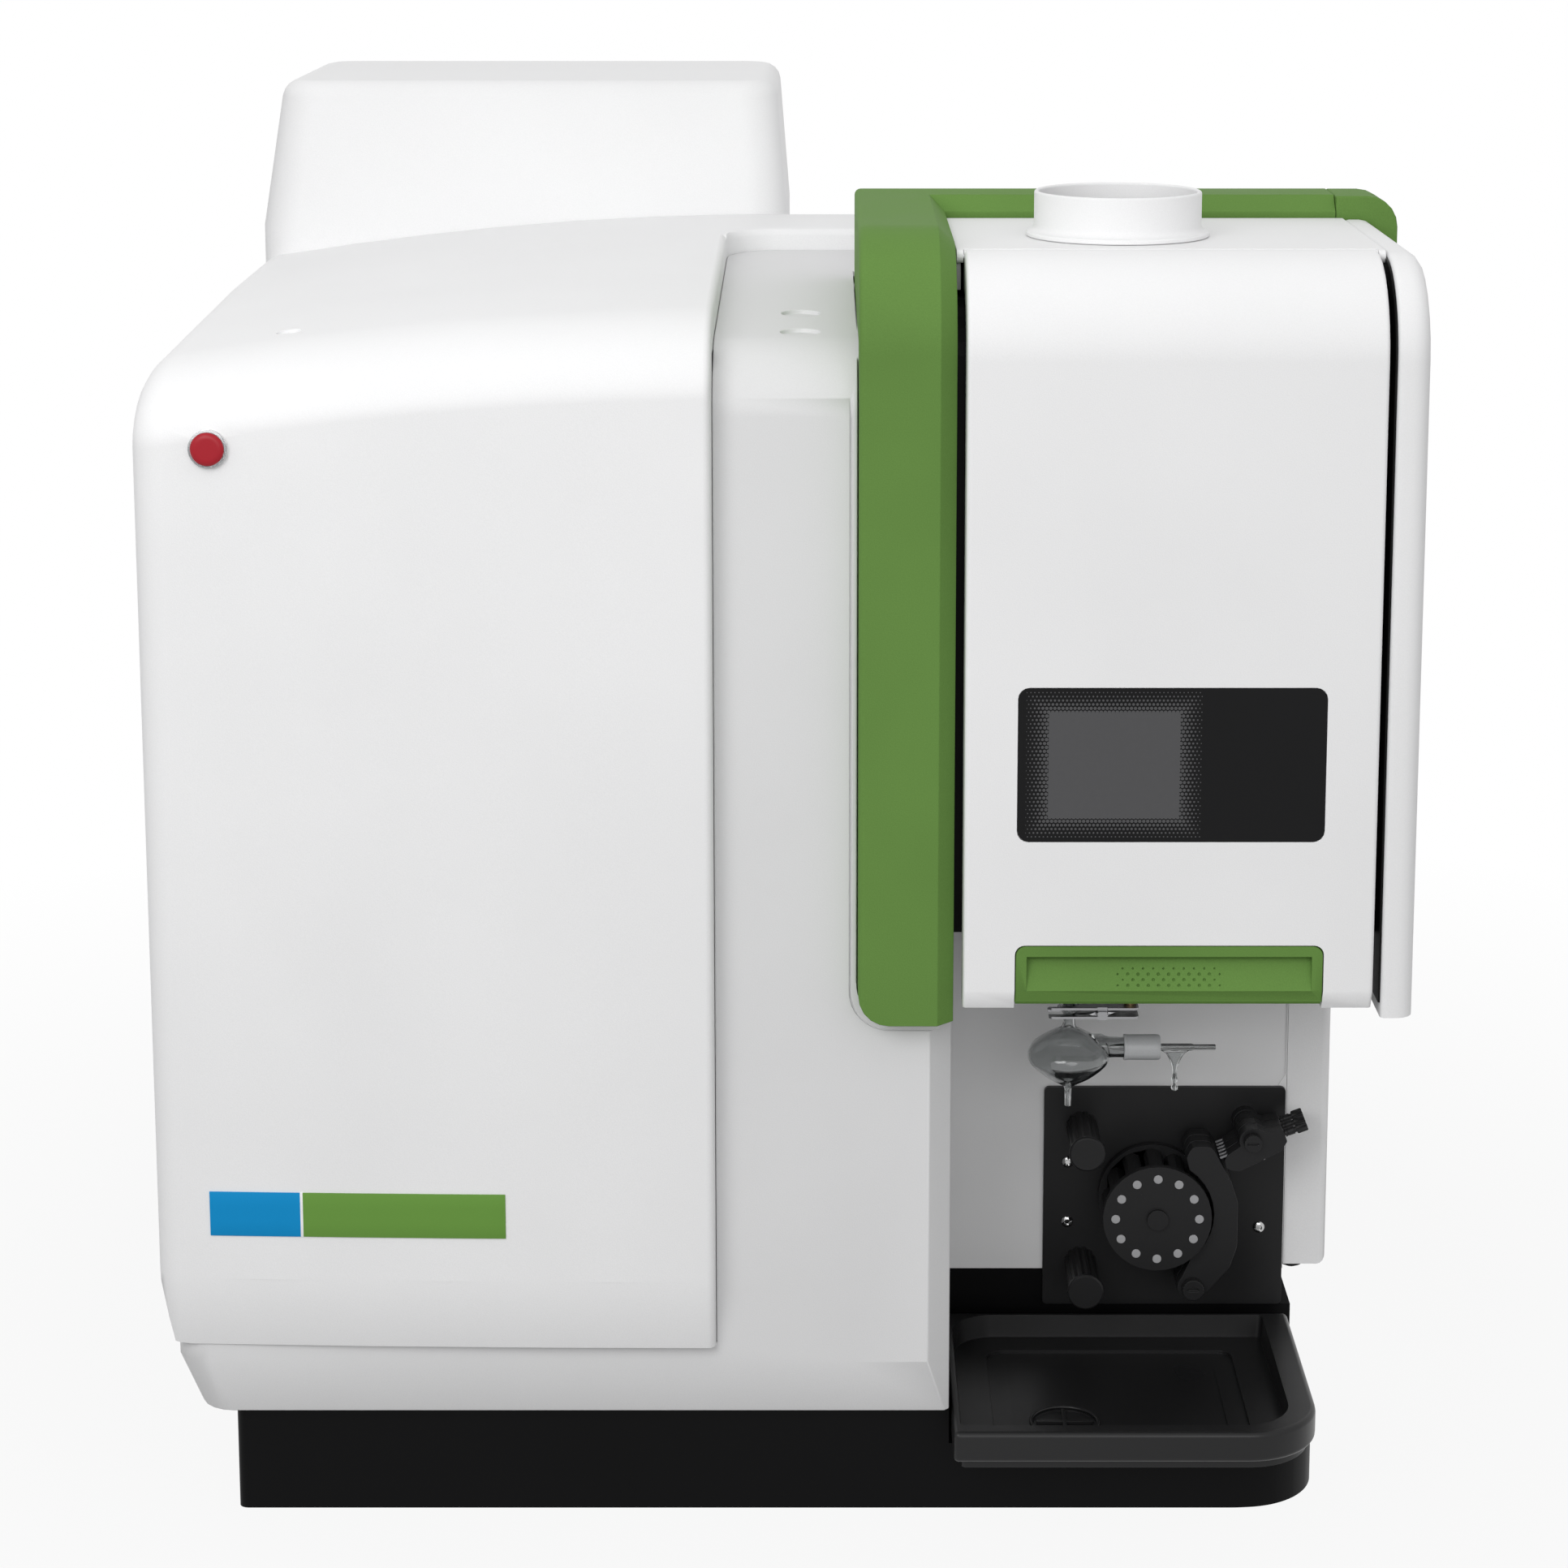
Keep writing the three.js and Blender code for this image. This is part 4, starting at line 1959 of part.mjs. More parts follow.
function dripTray() {
  const [x0, x1] = [bayX + trayGap, plinthRightX - trayRightGap];
  const [y0, y1] = [frontY, frontY + trayDepth];
  const outlineAt = (inset) => rounded([
    [x0 + inset, y0 + inset, trayEdgeRadius],
    [x1 - inset, y0 + inset, trayCornerRadius - inset],
    [x1 - inset, y1 - inset, trayEdgeRadius],
    [x0 + inset, y1 - inset, trayEdgeRadius],
  ]);
  const bottom = trayShelfHeight + seat;
  const top = bottom + trayHeight;
  const places = [
    [bottom, trayBevel],
    [bottom + trayBevel, 0],
    [top - trayBevel, 0],
    [top, trayBevel],
  ];
  const outer = sweptZ(places, (z, inset) => outlineAt(inset));
  const floor = bottom + trayFloor;
  const basin = sweptZ(
    [[floor, trayRim + trayDraft], [top, trayRim], [top + overrun, trayRim]],
    (z, inset) => outlineAt(inset),
  );
  const grooves = [0, 1].map((k) => {
    const inset = trayGrooveInset + k * trayGroovePitch;
    return prism(
      outlineAt(inset), "xy", floor - trayGrooveDepth, floor + overrun, outlineAt(inset + trayGrooveWidth),
    );
  });
  const drain = [x0 + drainInset, y0 + drainSet, floor];
  const bowl = bar("z", drain, -drainBowlDepth, overrun, drainBowlRadius);
  const innerRing = drainRingRadius - drainRingWidth;
  const ring = revolved(
    "z",
    [
      [innerRing, -trayGrooveDepth - seat],
      [drainRingRadius, -trayGrooveDepth - seat],
      [drainRingRadius, drainRingRise],
      [innerRing, drainRingRise],
    ],
    drain, 24,
  );
  const pad = bar("z", drain, -trayGrooveDepth - seat, 0, drainRingRadius);
  const half = drainCrossWidth / 2;
  const cross = joined(
    box(drain[0] - innerRing, drain[0] + innerRing, drain[1] - half, drain[1] + half, floor - drainBowlDepth, floor),
    box(drain[0] - half, drain[0] + half, drain[1] - innerRing, drain[1] + innerRing, floor - drainBowlDepth, floor),
  );
  return joined(cut(joined(cut(outer, basin, ...grooves), pad), bowl), ring, cross);
}

// Inside the housings

function opticsTank() {
  const bottom = chassisTopHeight + seat;
  const [x0, x1] = [leftX + tankInset, leftX + tankInset + tankWidth];
  const [y0, y1] = [frontY + tankSet, frontY + tankSet + tankDepth];
  const top = tankTopHeight;
  const riser = box(x0, x1, frontY + riserSet, y1, bottom, riserTopHeight);
  const outer = joined(box(x0, x1, y0, y1, bottom, top), riser);
  const w = sheetWall;
  const inner = joined(
    box(x0 + w, x1 - w, y0 + w, y1 - w, bottom - overrun, top - w),
    box(x0 + w, x1 - w, frontY + riserSet + w, y1 - w, bottom - overrun, riserTopHeight - w),
  );
  return cut(outer, inner);
}

function detector() {
  const x = leftX + tankInset + tankWidth + seat;
  const y = frontY + detectorSet;
  const z = detectorBottomHeight;
  return openBox(x, x + detectorWidth, y, y + detectorDepth, z, z + detectorHeight);
}

// A cabinet that stands on the chassis behind the bay.
function cabinet(set, depth, top) {
  const x = housingX + generatorInset;
  const bottom = chassisTopHeight + seat;
  return openBox(x, x + generatorWidth, frontY + set, frontY + set + depth, bottom, top);
}

// The whole instrument

addPiece(instrument, "base_plinth", basePlinth(), blackPlastic);
addPiece(instrument, "chassis_tray", chassisTray(), aluminium);
addPiece(instrument, "front_moulding", frontMoulding(), whitePlastic);
addPiece(instrument, "left_cover", leftCover(), whitePlastic);
addPiece(instrument, "rear_tower", rearTower(), whitePlastic);
addPiece(instrument, "rear_housing", rearHousing(), whitePlastic);
addPiece(instrument, "lower_side_panel", lowerSidePanel(), whitePlastic);
addPiece(instrument, "panel_bumper", panelBumper(), softRubber);
addPiece(instrument, "right_side_cover", rightSideCover(), whitePlastic);
addPiece(instrument, "top_cover", topCover(), whitePlastic);
addPiece(instrument, "exhaust_collar", exhaustCollar(), whitePlastic);
addPiece(instrument, "green_frame", greenFrame(), greenPlastic);
addPiece(instrument, "green_side_band", greenSideBand(), greenPlastic);
addPiece(instrument, "torch_box", torchBox(), blackSheet);
addPiece(instrument, "bay_liner", bayLiner(), whiteSheet);
addPiece(instrument, "torch_door", torchDoor(), whitePlastic);
addPiece(instrument, "door_window", doorWindow(), blackGloss);
addPiece(instrument, "door_handle", doorHandle(), greenPlastic);
addPiece(instrument, "door_hinge_pin", doorHingePin(), steel);
addPiece(buttonGroup, "standby_button", standbyButton(), redPlastic);
addPiece(buttonGroup, "button_bezel", buttonBezel(), clearPlastic);
addPiece(instrument, "drip_tray", dripTray(), blackPlastic);

addPiece(pump, "pump_plate", pumpPlate(), blackPlastic);
addPiece(pump, "pump_motor", pumpMotor(), blackSheet);
addPiece(pump, "pump_rotor", pumpRotor(), blackPlastic);
addPiece(pump, "arm_pivot_pin", pivotPin(armPivotU, armPivotW, armHeadRadius), steel);
addPiece(pump, "lever_pivot_pin", pivotPin(leverPivotU, leverPivotW, leverHeadRadius), steel);
addPiece(pump, "tube_post_upper", tubePost(atShare(upperPostShare)), blackPlastic);
addPiece(pump, "tube_post_lower", tubePost(atShare(lowerPostShare)), blackPlastic);
["rear", "middle", "front"].forEach((place, slot) => {
  addPiece(pump, `pressure_arm_${place}`, pressureArm(slot), blackPlastic);
  addPiece(pump, `cam_lever_${place}`, camLever(slot), blackPlastic);
  addPiece(pump, `adjusting_screw_${place}`, adjustingScrew(slot), blackPlastic);
});

addPiece(glassware, "spray_chamber", sprayChamber(), glass);
addPiece(glassware, "end_cap", endCap(), frostedPlastic);
addPiece(glassware, "nebulizer", nebulizer(), glass);
addPiece(glassware, "clamp_lower", lowerClamp(), steel);
addPiece(glassware, "clamp_upper", upperClamp(), steel);
addPiece(glassware, "injector_tube", injectorTube(), glass);
addPiece(torch, "torch_mount", torchMount(), ceramic);
addPiece(torch, "torch_tube", torchTube(), glass);
addPiece(torch, "load_plate_lower", loadPlate(0), aluminium);
addPiece(torch, "load_plate_upper", loadPlate(1), aluminium);
addPiece(torch, "optics_snout", opticsSnout(), aluminium);

addPiece(instrument, "optics_tank", opticsTank(), aluminium);
addPiece(instrument, "detector", detector(), blackSheet);
addPiece(instrument, "rf_generator", cabinet(generatorSet, generatorDepth, generatorTopHeight), aluminium);
addPiece(instrument, "power_supply", cabinet(supplySet, supplyDepth, supplyTopHeight), aluminium);
addPiece(instrument, "rear_panel", rearPanel(), whiteSheet);
addPiece(instrument, "fan_frame", fanFrame(), blackPlastic);
addPiece(instrument, "fan_rotor", fanRotor(), blackPlastic);
addPiece(instrument, "power_inlet", powerInlet(), blackPlastic);
addPiece(instrument, "power_switch", powerSwitch(), blackPlastic);

export default instrument;
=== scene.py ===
"""Looks of a benchtop plasma spectrometer, laid out as a Blender add-on and run as a script.

Lengths are in metres, but for those in mm(), in_mm() and slab(). The front faces -Y and +Z is up.
"""

import json
import math

import bpy
from mathutils import Matrix, Vector


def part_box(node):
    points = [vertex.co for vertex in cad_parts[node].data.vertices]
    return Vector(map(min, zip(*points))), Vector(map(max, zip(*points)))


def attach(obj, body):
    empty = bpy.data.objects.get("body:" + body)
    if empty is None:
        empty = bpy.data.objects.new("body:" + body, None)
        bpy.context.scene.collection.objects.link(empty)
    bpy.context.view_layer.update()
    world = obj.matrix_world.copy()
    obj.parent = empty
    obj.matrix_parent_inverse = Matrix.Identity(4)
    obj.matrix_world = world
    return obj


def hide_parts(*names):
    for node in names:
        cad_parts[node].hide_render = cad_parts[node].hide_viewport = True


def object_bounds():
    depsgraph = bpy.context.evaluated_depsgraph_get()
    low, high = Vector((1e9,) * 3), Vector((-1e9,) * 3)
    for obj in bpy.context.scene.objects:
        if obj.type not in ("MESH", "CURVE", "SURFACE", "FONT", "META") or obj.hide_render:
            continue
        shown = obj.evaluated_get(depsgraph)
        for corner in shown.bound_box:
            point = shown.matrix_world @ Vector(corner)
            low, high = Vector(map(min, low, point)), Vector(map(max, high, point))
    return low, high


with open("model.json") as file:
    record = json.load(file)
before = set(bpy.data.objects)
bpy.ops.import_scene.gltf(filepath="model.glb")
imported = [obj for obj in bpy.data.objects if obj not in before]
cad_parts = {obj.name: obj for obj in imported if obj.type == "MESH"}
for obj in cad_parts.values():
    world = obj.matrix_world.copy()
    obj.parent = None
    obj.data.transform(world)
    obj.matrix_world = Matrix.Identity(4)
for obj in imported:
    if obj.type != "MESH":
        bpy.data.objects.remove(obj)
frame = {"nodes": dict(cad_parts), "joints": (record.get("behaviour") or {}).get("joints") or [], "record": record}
CAD_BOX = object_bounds()

bl_info = {
    "name": "Plasma spectrometer looks",
    "version": (1, 0, 0),
    "blender": (4, 5, 0),
    "location": "View3D > Sidebar > Spectrometer",
    "description": "Finishes and fine pieces of a benchtop plasma spectrometer",
    "category": "Add Mesh",
}

MM = 0.001
FRONT = CAD_BOX[0][1]
SLOTS = {part["node"]: part["material_slot"] for part in frame["record"]["subparts"]}
BODIES = {
    node: body
    for body, nodes in frame["record"]["behaviour"]["bodies"].items()
    for node in nodes
}
PIVOTS = {joint["name"]: joint.get("pos_m") for joint in frame["joints"]}

FORWARD = (math.radians(90), 0.0, 0.0)
TO_THE_RIGHT = (0.0, math.radians(90), 0.0)
KNOB_TURN = (0.0, math.radians(69), 0.0)
NEXT_TO_NOTHING = 0.01 * MM
WELD = 0.001 * MM
PLACES = ("rear", "middle", "front")
WHITE = (1.0, 1.0, 1.0, 1.0)

# Height of the ball on the spray chamber's neck over the chamber's widest level
BALL_RISE = 31.4 * MM
BALL_RADIUS = 5.2 * MM

# Belly of the spray chamber from its drain to its neck, as (radius, height) shares of its widest radius
BELLY = [
    (0.081, -0.93), (0.09, -0.86), (0.135, -0.785), (0.32, -0.668), (0.558, -0.525), (0.797, -0.334),
    (0.93, -0.2), (0.988, -0.1), (1.0, 0.0), (0.984, 0.105), (0.935, 0.2), (0.86, 0.3), (0.64, 0.46),
    (0.36, 0.62), (0.21, 0.7), (0.165, 0.76), (0.153, 0.82), (0.151, 0.9), (0.151, 1.06),
]

# Settings


def number(name, words, default, **options):
    return bpy.props.FloatProperty(name=name, description=words, default=default, **options)


def length(name, words, default):
    return number(name, words, default, min=0.0, unit="LENGTH", precision=5)


def share(name, words, default):
    return number(name, words, default, min=0.0, max=1.0, subtype="FACTOR")


def angle(name, words, degrees):
    return number(name, words, math.radians(degrees), subtype="ANGLE")


def colour(name, words, default):
    return bpy.props.FloatVectorProperty(
        name=name, description=words, default=default, size=3, min=0.0, max=1.0, subtype="COLOR"
    )


def count(name, words, default):
    return bpy.props.IntProperty(name=name, description=words, default=default, min=1)


class FinishSettings(bpy.types.PropertyGroup):
    """Colours of the mouldings, metals and glass."""

    white: colour("White moulding", "Covers and door", (0.84, 0.84, 0.845))
    sheet_white: colour("White sheet", "Bay wall and rear panel", (0.80, 0.80, 0.805))
    leaf: colour("Green moulding", "Frame, band and handle", (0.138, 0.265, 0.064))
    # Painted shade: the front moulding is greyer than the covers so that its recessed panel and the skirt under
    # the left cover look shaded.
    front_white: colour("Front moulding", "The recessed front", (0.725, 0.725, 0.73))
    black: colour("Black moulding", "Pump and small fittings", (0.0145, 0.0145, 0.0152))
    # Painted shade: the plinth is deep black plastic, made darker still as painted shade of the skirt that
    # overhangs it; the black sheet and the gap's sheet share this colour.
    plinth_black: colour("Plinth black", "Plinth and black sheet", (0.0032, 0.0032, 0.0035))
    tray_black: colour("Tray black", "Drip tray", (0.0105, 0.0105, 0.011))
    window: colour("Window plate", "Plate of the door's window", (0.005, 0.005, 0.0055))
    pane: colour("Window pane", "See-through part of the window", (0.085, 0.085, 0.088))
    red: colour("Button red", "Cap of the standby button", (0.36, 0.012, 0.022))
    bezel: colour("Bezel", "Clear plastic round the button", (0.86, 0.87, 0.88))
    plate_blue: colour("Plate blue", "Short field of the two-tone plate", (0.004, 0.245, 0.545))
    plate_green: colour("Plate green", "Long field of the two-tone plate", (0.13, 0.28, 0.05))
    steel: colour("Stainless steel", "Pins and other bright parts", (0.55, 0.56, 0.57))
    plated: colour("Plated screws", "Screws of the pump's plate", (0.5, 0.5, 0.5))
    aluminium: colour("Aluminium", "Chassis, tank and coil plates", (0.62, 0.63, 0.64))
    clamp_steel: colour("Clamp steel", "Pinch clamp", (0.33, 0.33, 0.34))
    bronze: colour("Bronze", "Locking screw of the pinch clamp", (0.34, 0.24, 0.13))
    roller_grey: colour("Roller ends", "Ends of the pump's roller axles", (0.36, 0.36, 0.37))
    frosted: colour("Frosted cap", "Cap that holds the nebulizer", (0.5, 0.51, 0.52))
    # Painted shade: the glass is tinted grey to darken what is seen through it, standing in for the darker
    # surroundings that the chamber refracts.
    glass: colour("Glass", "Blown glass", (0.70, 0.715, 0.715))
    ceramic: colour("Mount white", "Machined torch mount", (0.82, 0.81, 0.78))


class PlateSettings(bpy.types.PropertyGroup):
    """The bare two-tone plate low on the left cover."""

    left: length("Left edge", "From the middle of the instrument, to the left", 0.35825)
    bottom: length("Bottom edge", "Height of the plate's lower edge", 0.1965)
    width: length("Width", "Width of the plate", 0.1825)
    height: length("Height", "Height of the plate", 0.0285)
    blue_share: share("Blue share", "Share of the width that is blue", 0.307)
    line_share: share("Line share", "Share of the width of the white line", 0.009)
    thickness: length("Thickness", "Thickness of the plate", 0.0008)
    corner: length("Corner", "Rounding of the plate's edge", 0.00025)


class HandleSettings(bpy.types.PropertyGroup):
    """Pits in the middle of the door's handle, with smaller ones along the top and at both ends."""

    columns: count("Columns", "Full pits in the lowest row", 9)
    pitch: length("Column pitch", "From pit to pit in a row", 0.0062)
    row_pitch: length("Row pitch", "From row to row", 0.00325)
    middle: length("Middle", "Height of the field's middle over the handle's foot", 0.0181)
    radius: length("Pit radius", "Radius of a full pit", 0.00112)
    small_radius: length("Small pit radius", "Radius of a pit at the field's edge", 0.00075)
    depth: length("Pit depth", "How deep each pit is sunk", 0.0011)


class ScrewSettings(bpy.types.PropertyGroup):
    """Bright screws on the pump's plate."""

    head_radius: length("Head radius", "Radius of a plate screw's head", 0.0040)
    head_height: length("Head height", "Height of a plate screw's head", 0.0022)
    socket_radius: length("Socket radius", "Radius of the socket in the head", 0.0018)
    socket_depth: length("Socket depth", "Depth of the socket", 0.0012)


class GlassSettings(bpy.types.PropertyGroup):
    """The blown spray chamber."""

    radius: length("Chamber radius", "Widest radius of the chamber", 0.0260)
    drop: length("Drain end", "From the chamber's widest level down to the drain's end", 0.0340)
    side_rise: length("Side tube", "Height of the side tube over the widest level", 0.0052)
    wall: length("Wall", "Thickness of the glass", 0.0012)
    sides: count("Sides", "Faces round the chamber", 72)


class EdgeSettings(bpy.types.PropertyGroup):
    """Small roundings that a moulding has on its edges."""

    cover: length("Covers", "Rounding of the white covers' edges", 0.0010)
    frame: length("Frame", "Rounding of the green frame's edges", 0.0012)
    handle: length("Handle", "Rounding of the door handle's edges", 0.0008)
    small: length("Small parts", "Rounding of the pump's edges", 0.0005)
    machined: length("Torch mount", "Rounding of the torch mount's edges", 0.0004)
    pressed: length("Plates", "Rounding of the clamp's and the window's edges", 0.0003)
    smooth: angle("Smooth angle", "Faces that meet at less than this are shaded as one surface", 32)


class TraySettings(bpy.types.PropertyGroup):
    """Levels and roundings of the drip tray."""

    top: length("Top", "Level of the rim", 0.069)
    floor: length("Floor", "Level of the floor", 0.0545)
    foot: length("Foot", "Height of the narrower foot", 0.005)
    dip: length("Dip", "Depth of each step of the floor", 0.0018)
    rim_radius: length("Rim", "Radius of the rim's outer edge", 0.0034)
    drain_radius: length("Drain", "Radius of the drain's ring", 0.0225)


class StageSettings(bpy.types.PropertyGroup):
    """Camera, lamps, floor and the light all round."""

    lens: number("Lens", "Focal length", 82.55, unit="CAMERA")
    pitch: angle("Pitch", "How far the camera looks up from straight down", 79.9)
    level_light: number("Light from the sides", "Strength of the world's light at the horizon", 0.55)
    top_light: number("Light from above", "Strength of the world's light overhead", 0.95)
    key: number("Key lamp", "Power of the near lamp, upper left", 16.3, unit="POWER")
    front: number("Front lamp", "Power of the large lamp over the camera", 26.4, unit="POWER")
    floor: colour("Floor", "Grey that takes the shadow", (0.22, 0.22, 0.22))
    glow: share("Floor glow", "Share of plain white in the floor under the instrument", 0.92)
    glow_start: length("Glow start", "How far out the floor starts to turn white", 0.5)
    glow_end: length("Glow end", "How far out it is quite white", 1.3)


SETTINGS = {
    "finish": FinishSettings,
    "plate": PlateSettings,
    "handle": HandleSettings,
    "screw": ScrewSettings,
    "glass": GlassSettings,
    "edge": EdgeSettings,
    "tray": TraySettings,
    "stage": StageSettings,
}


def settings(name):
    return getattr(bpy.context.scene, "spectrometer_" + name)


# Node groups for effects that several finishes share

GROUPS = {}
FINISHES = {}
SURFACE = {"Colour": "NodeSocketColor", "Roughness": "NodeSocketFloat", "Normal": "NodeSocketVector"}


def feed(tree, socket, value):
    """Gives a socket its value: a number, a colour or the output of another node."""
    if isinstance(value, bpy.types.NodeSocket):
        tree.links.new(value, socket)
    else:
        socket.default_value = value


def add_node(tree, kind, inputs=(), **options):
    """A new node with these options, its inputs fed by label or index."""
    node = tree.nodes.new(kind)
    for name, value in options.items():
        setattr(node, name, value)
    for label, value in dict(inputs).items():
        feed(tree, node.inputs[label], value)
    return node


def calc(tree, operation, *values):
    return add_node(tree, "ShaderNodeMath", enumerate(values), operation=operation).outputs[0]


def spread(tree, *values):
    """Maps a value from the range of the next two to the range of the last two."""
    labels = ("Value", "From Min", "From Max", "To Min", "To Max")
    return add_node(tree, "ShaderNodeMapRange", zip(labels, values), clamp=True).outputs["Result"]


def noise(tree, *values):
    labels = ("Vector", "Scale", "Detail", "Roughness")
    return add_node(tree, "ShaderNodeTexNoise", zip(labels, values)).outputs["Fac"]


def group_of(name, inputs, outputs):
    """A new node group: its tree, its entering and leaving sockets, and the place on the object."""
    tree = GROUPS[name] = bpy.data.node_groups.new(name, "ShaderNodeTree")
    for label, default in inputs.items():
        kind = "NodeSocketColor" if isinstance(default, tuple) else "NodeSocketFloat"
        tree.interface.new_socket(name=label, in_out="INPUT", socket_type=kind).default_value = default
    for label, kind in outputs.items():
        tree.interface.new_socket(name=label, in_out="OUTPUT", socket_type=kind)
    enter = add_node(tree, "NodeGroupInput").outputs
    leave = add_node(tree, "NodeGroupOutput").inputs
    return tree, enter, leave, add_node(tree, "ShaderNodeTexCoord").outputs["Object"]


def surface_out(tree, leave, colour, tone, roughness, height, depth):
    """Shades the group's colour by the tone, and gives its roughness and its bump."""
    shaded = add_node(tree, "ShaderNodeVectorMath", {0: colour, "Scale": tone}, operation="SCALE")
    bump = add_node(tree, "ShaderNodeBump", {"Strength": 1.0, "Distance": depth, "Height": height})
    feed(tree, leave["Colour"], shaded.outputs[0])
    feed(tree, leave["Roughness"], roughness)
    feed(tree, leave["Normal"], bump.outputs["Normal"])


def moulded_grain():
    """Spark-eroded grain of a moulding: fine bumps, a faint mottle and an uneven sheen."""
    inputs = {
        "Colour": (0.8, 0.8, 0.8, 1.0), "Grain scale": 900.0, "Grain depth": 0.00002, "Mottle": 0.05,
        "Roughness": 0.5, "Roughness spread": 0.06,
    }
    tree, enter, leave, place = group_of("Moulded grain", inputs, SURFACE)
    fine = noise(tree, place, enter["Grain scale"], 2.0, 0.55)
    broad = noise(tree, place, 7.0, 3.0, 0.5)
    low = calc(tree, "SUBTRACT", 1.0, enter["Mottle"])
    fine_shade = spread(tree, fine, 0.3, 0.7, low, 1.0)
    broad_shade = spread(tree, broad, 0.35, 0.65, calc(tree, "ADD", low, 0.01), 1.0)
    tone = calc(tree, "MULTIPLY", fine_shade, broad_shade)
    rough_low, rough_high = (
        calc(tree, way, enter["Roughness"], enter["Roughness spread"]) for way in ("SUBTRACT", "ADD")
    )
    roughness = spread(tree, broad, 0.3, 0.7, rough_low, rough_high)
    surface_out(tree, leave, enter["Colour"], tone, roughness, fine, enter["Grain depth"])


def brushed_lines():
    """Fine lines along X of drawn or ground metal."""
    inputs = {
        "Colour": (0.6, 0.6, 0.6, 1.0), "Line scale": 2500.0, "Depth": 0.000006, "Roughness": 0.3,
    }
    tree, enter, leave, place = group_of("Brushed lines", inputs, SURFACE)
    drawn_out = add_node(tree, "ShaderNodeMapping", {"Scale": (0.02, 1.0, 1.0), "Vector": place})
    lines = noise(tree, drawn_out.outputs["Vector"], enter["Line scale"], 2.0, 0.6)
    clouds = noise(tree, place, 40.0, 2.0, 0.5)
    line_shade = spread(tree, lines, 0.3, 0.7, 0.86, 1.0)
    tone = calc(tree, "MULTIPLY", line_shade, spread(tree, clouds, 0.3, 0.7, 0.93, 1.0))
    rough_low = calc(tree, "SUBTRACT", enter["Roughness"], 0.07)
    rough_high = calc(tree, "ADD", enter["Roughness"], 0.09)
    roughness = spread(tree, lines, 0.3, 0.7, rough_low, rough_high)
    surface_out(tree, leave, enter["Colour"], tone, roughness, lines, enter["Depth"])


def pane_dots():
    """Mask of the window: 1 on the pane, staggered dots that shrink away from it, 0 on the plate."""
    inputs = {"Left": 0.0, "Right": 0.0, "Bottom": 0.0, "Top": 0.0, "Reach": 0.02, "Pitch": 0.0026}
    tree, enter, leave, place = group_of("Pane dots", inputs, {"Mask": "NodeSocketFloat"})
    parts = add_node(tree, "ShaderNodeSeparateXYZ", {0: place}).outputs

    def outside(value, low, high):
        under = calc(tree, "SUBTRACT", enter[low], value)
        over = calc(tree, "SUBTRACT", value, enter[high])
        return calc(tree, "MAXIMUM", calc(tree, "MAXIMUM", under, over), 0.0)

    def off_centre_squared(value):
        part = calc(tree, "SUBTRACT", calc(tree, "FRACT", value), 0.5)
        return calc(tree, "MULTIPLY", part, part)

    beside, above = outside(parts["X"], "Left", "Right"), outside(parts["Z"], "Bottom", "Top")
    away = calc(tree, "MAXIMUM", beside, above)
    row = calc(tree, "DIVIDE", parts["Z"], enter["Pitch"])
    shift = calc(tree, "MULTIPLY", calc(tree, "PINGPONG", calc(tree, "FLOOR", row), 1.0), 0.5)
    column = calc(tree, "ADD", calc(tree, "DIVIDE", parts["X"], enter["Pitch"]), shift)
    square = calc(tree, "ADD", off_centre_squared(row), off_centre_squared(column))
    far = calc(tree, "DIVIDE", away, enter["Reach"])
    size = spread(tree, far, 0.0, 1.0, 0.47, 0.13)
    inside = calc(tree, "LESS_THAN", calc(tree, "SQRT", square), size)
    dots = calc(tree, "MULTIPLY", inside, calc(tree, "LESS_THAN", far, 1.0))
    pane = calc(tree, "LESS_THAN", away, 0.00001)
    feed(tree, leave["Mask"], calc(tree, "MAXIMUM", dots, pane))


# Finishes


def new_material(name):
    material = bpy.data.materials.new(name)
    material.use_nodes = True
    return material, material.node_tree, material.node_tree.nodes["Principled BSDF"]


def placed_group(tree, group, inputs):
    return add_node(tree, "ShaderNodeGroup", inputs, node_tree=GROUPS[group]).outputs


def opaque(rgb):
    return (rgb[0], rgb[1], rgb[2], 1.0)


def coat(new, group, inputs, **rest):
    """Gives a new material its colour, roughness and normal from a node group, and these shader inputs."""
    material, tree, shader = new
    look = placed_group(tree, group, inputs)
    for source, target in (("Colour", "Base Color"), ("Roughness", "Roughness"), ("Normal", "Normal")):
        feed(tree, shader.inputs[target], look[source])
    for label, value in rest.items():
        shader.inputs[label.replace("_", " ")].default_value = value
    return material


def moulded(name, rgb, roughness, scale=900.0, depth=0.00001, mottle=0.04, specular=0.4, gloss=0.0):
    grain = {
        "Colour": opaque(rgb), "Grain scale": scale, "Grain depth": depth, "Mottle": mottle,
        "Roughness": roughness,
    }
    sheen = {"Specular_IOR_Level": specular, "Coat_Weight": gloss}
    return coat(new_material(name), "Moulded grain", grain, **sheen)


def metal(name, rgb, roughness, scale=2500.0):
    lines = {"Colour": opaque(rgb), "Line scale": scale, "Depth": 0.000006, "Roughness": roughness}
    return coat(new_material(name), "Brushed lines", lines, Metallic=1.0)


def clear(name, rgb, roughness):
    swirl = {
        "Colour": opaque(rgb), "Grain scale": 60.0, "Grain depth": 0.00003, "Mottle": 0.02,
        "Roughness": roughness, "Roughness spread": 0.01,
    }
    return coat(new_material(name), "Moulded grain", swirl, Transmission_Weight=1.0, IOR=1.46)


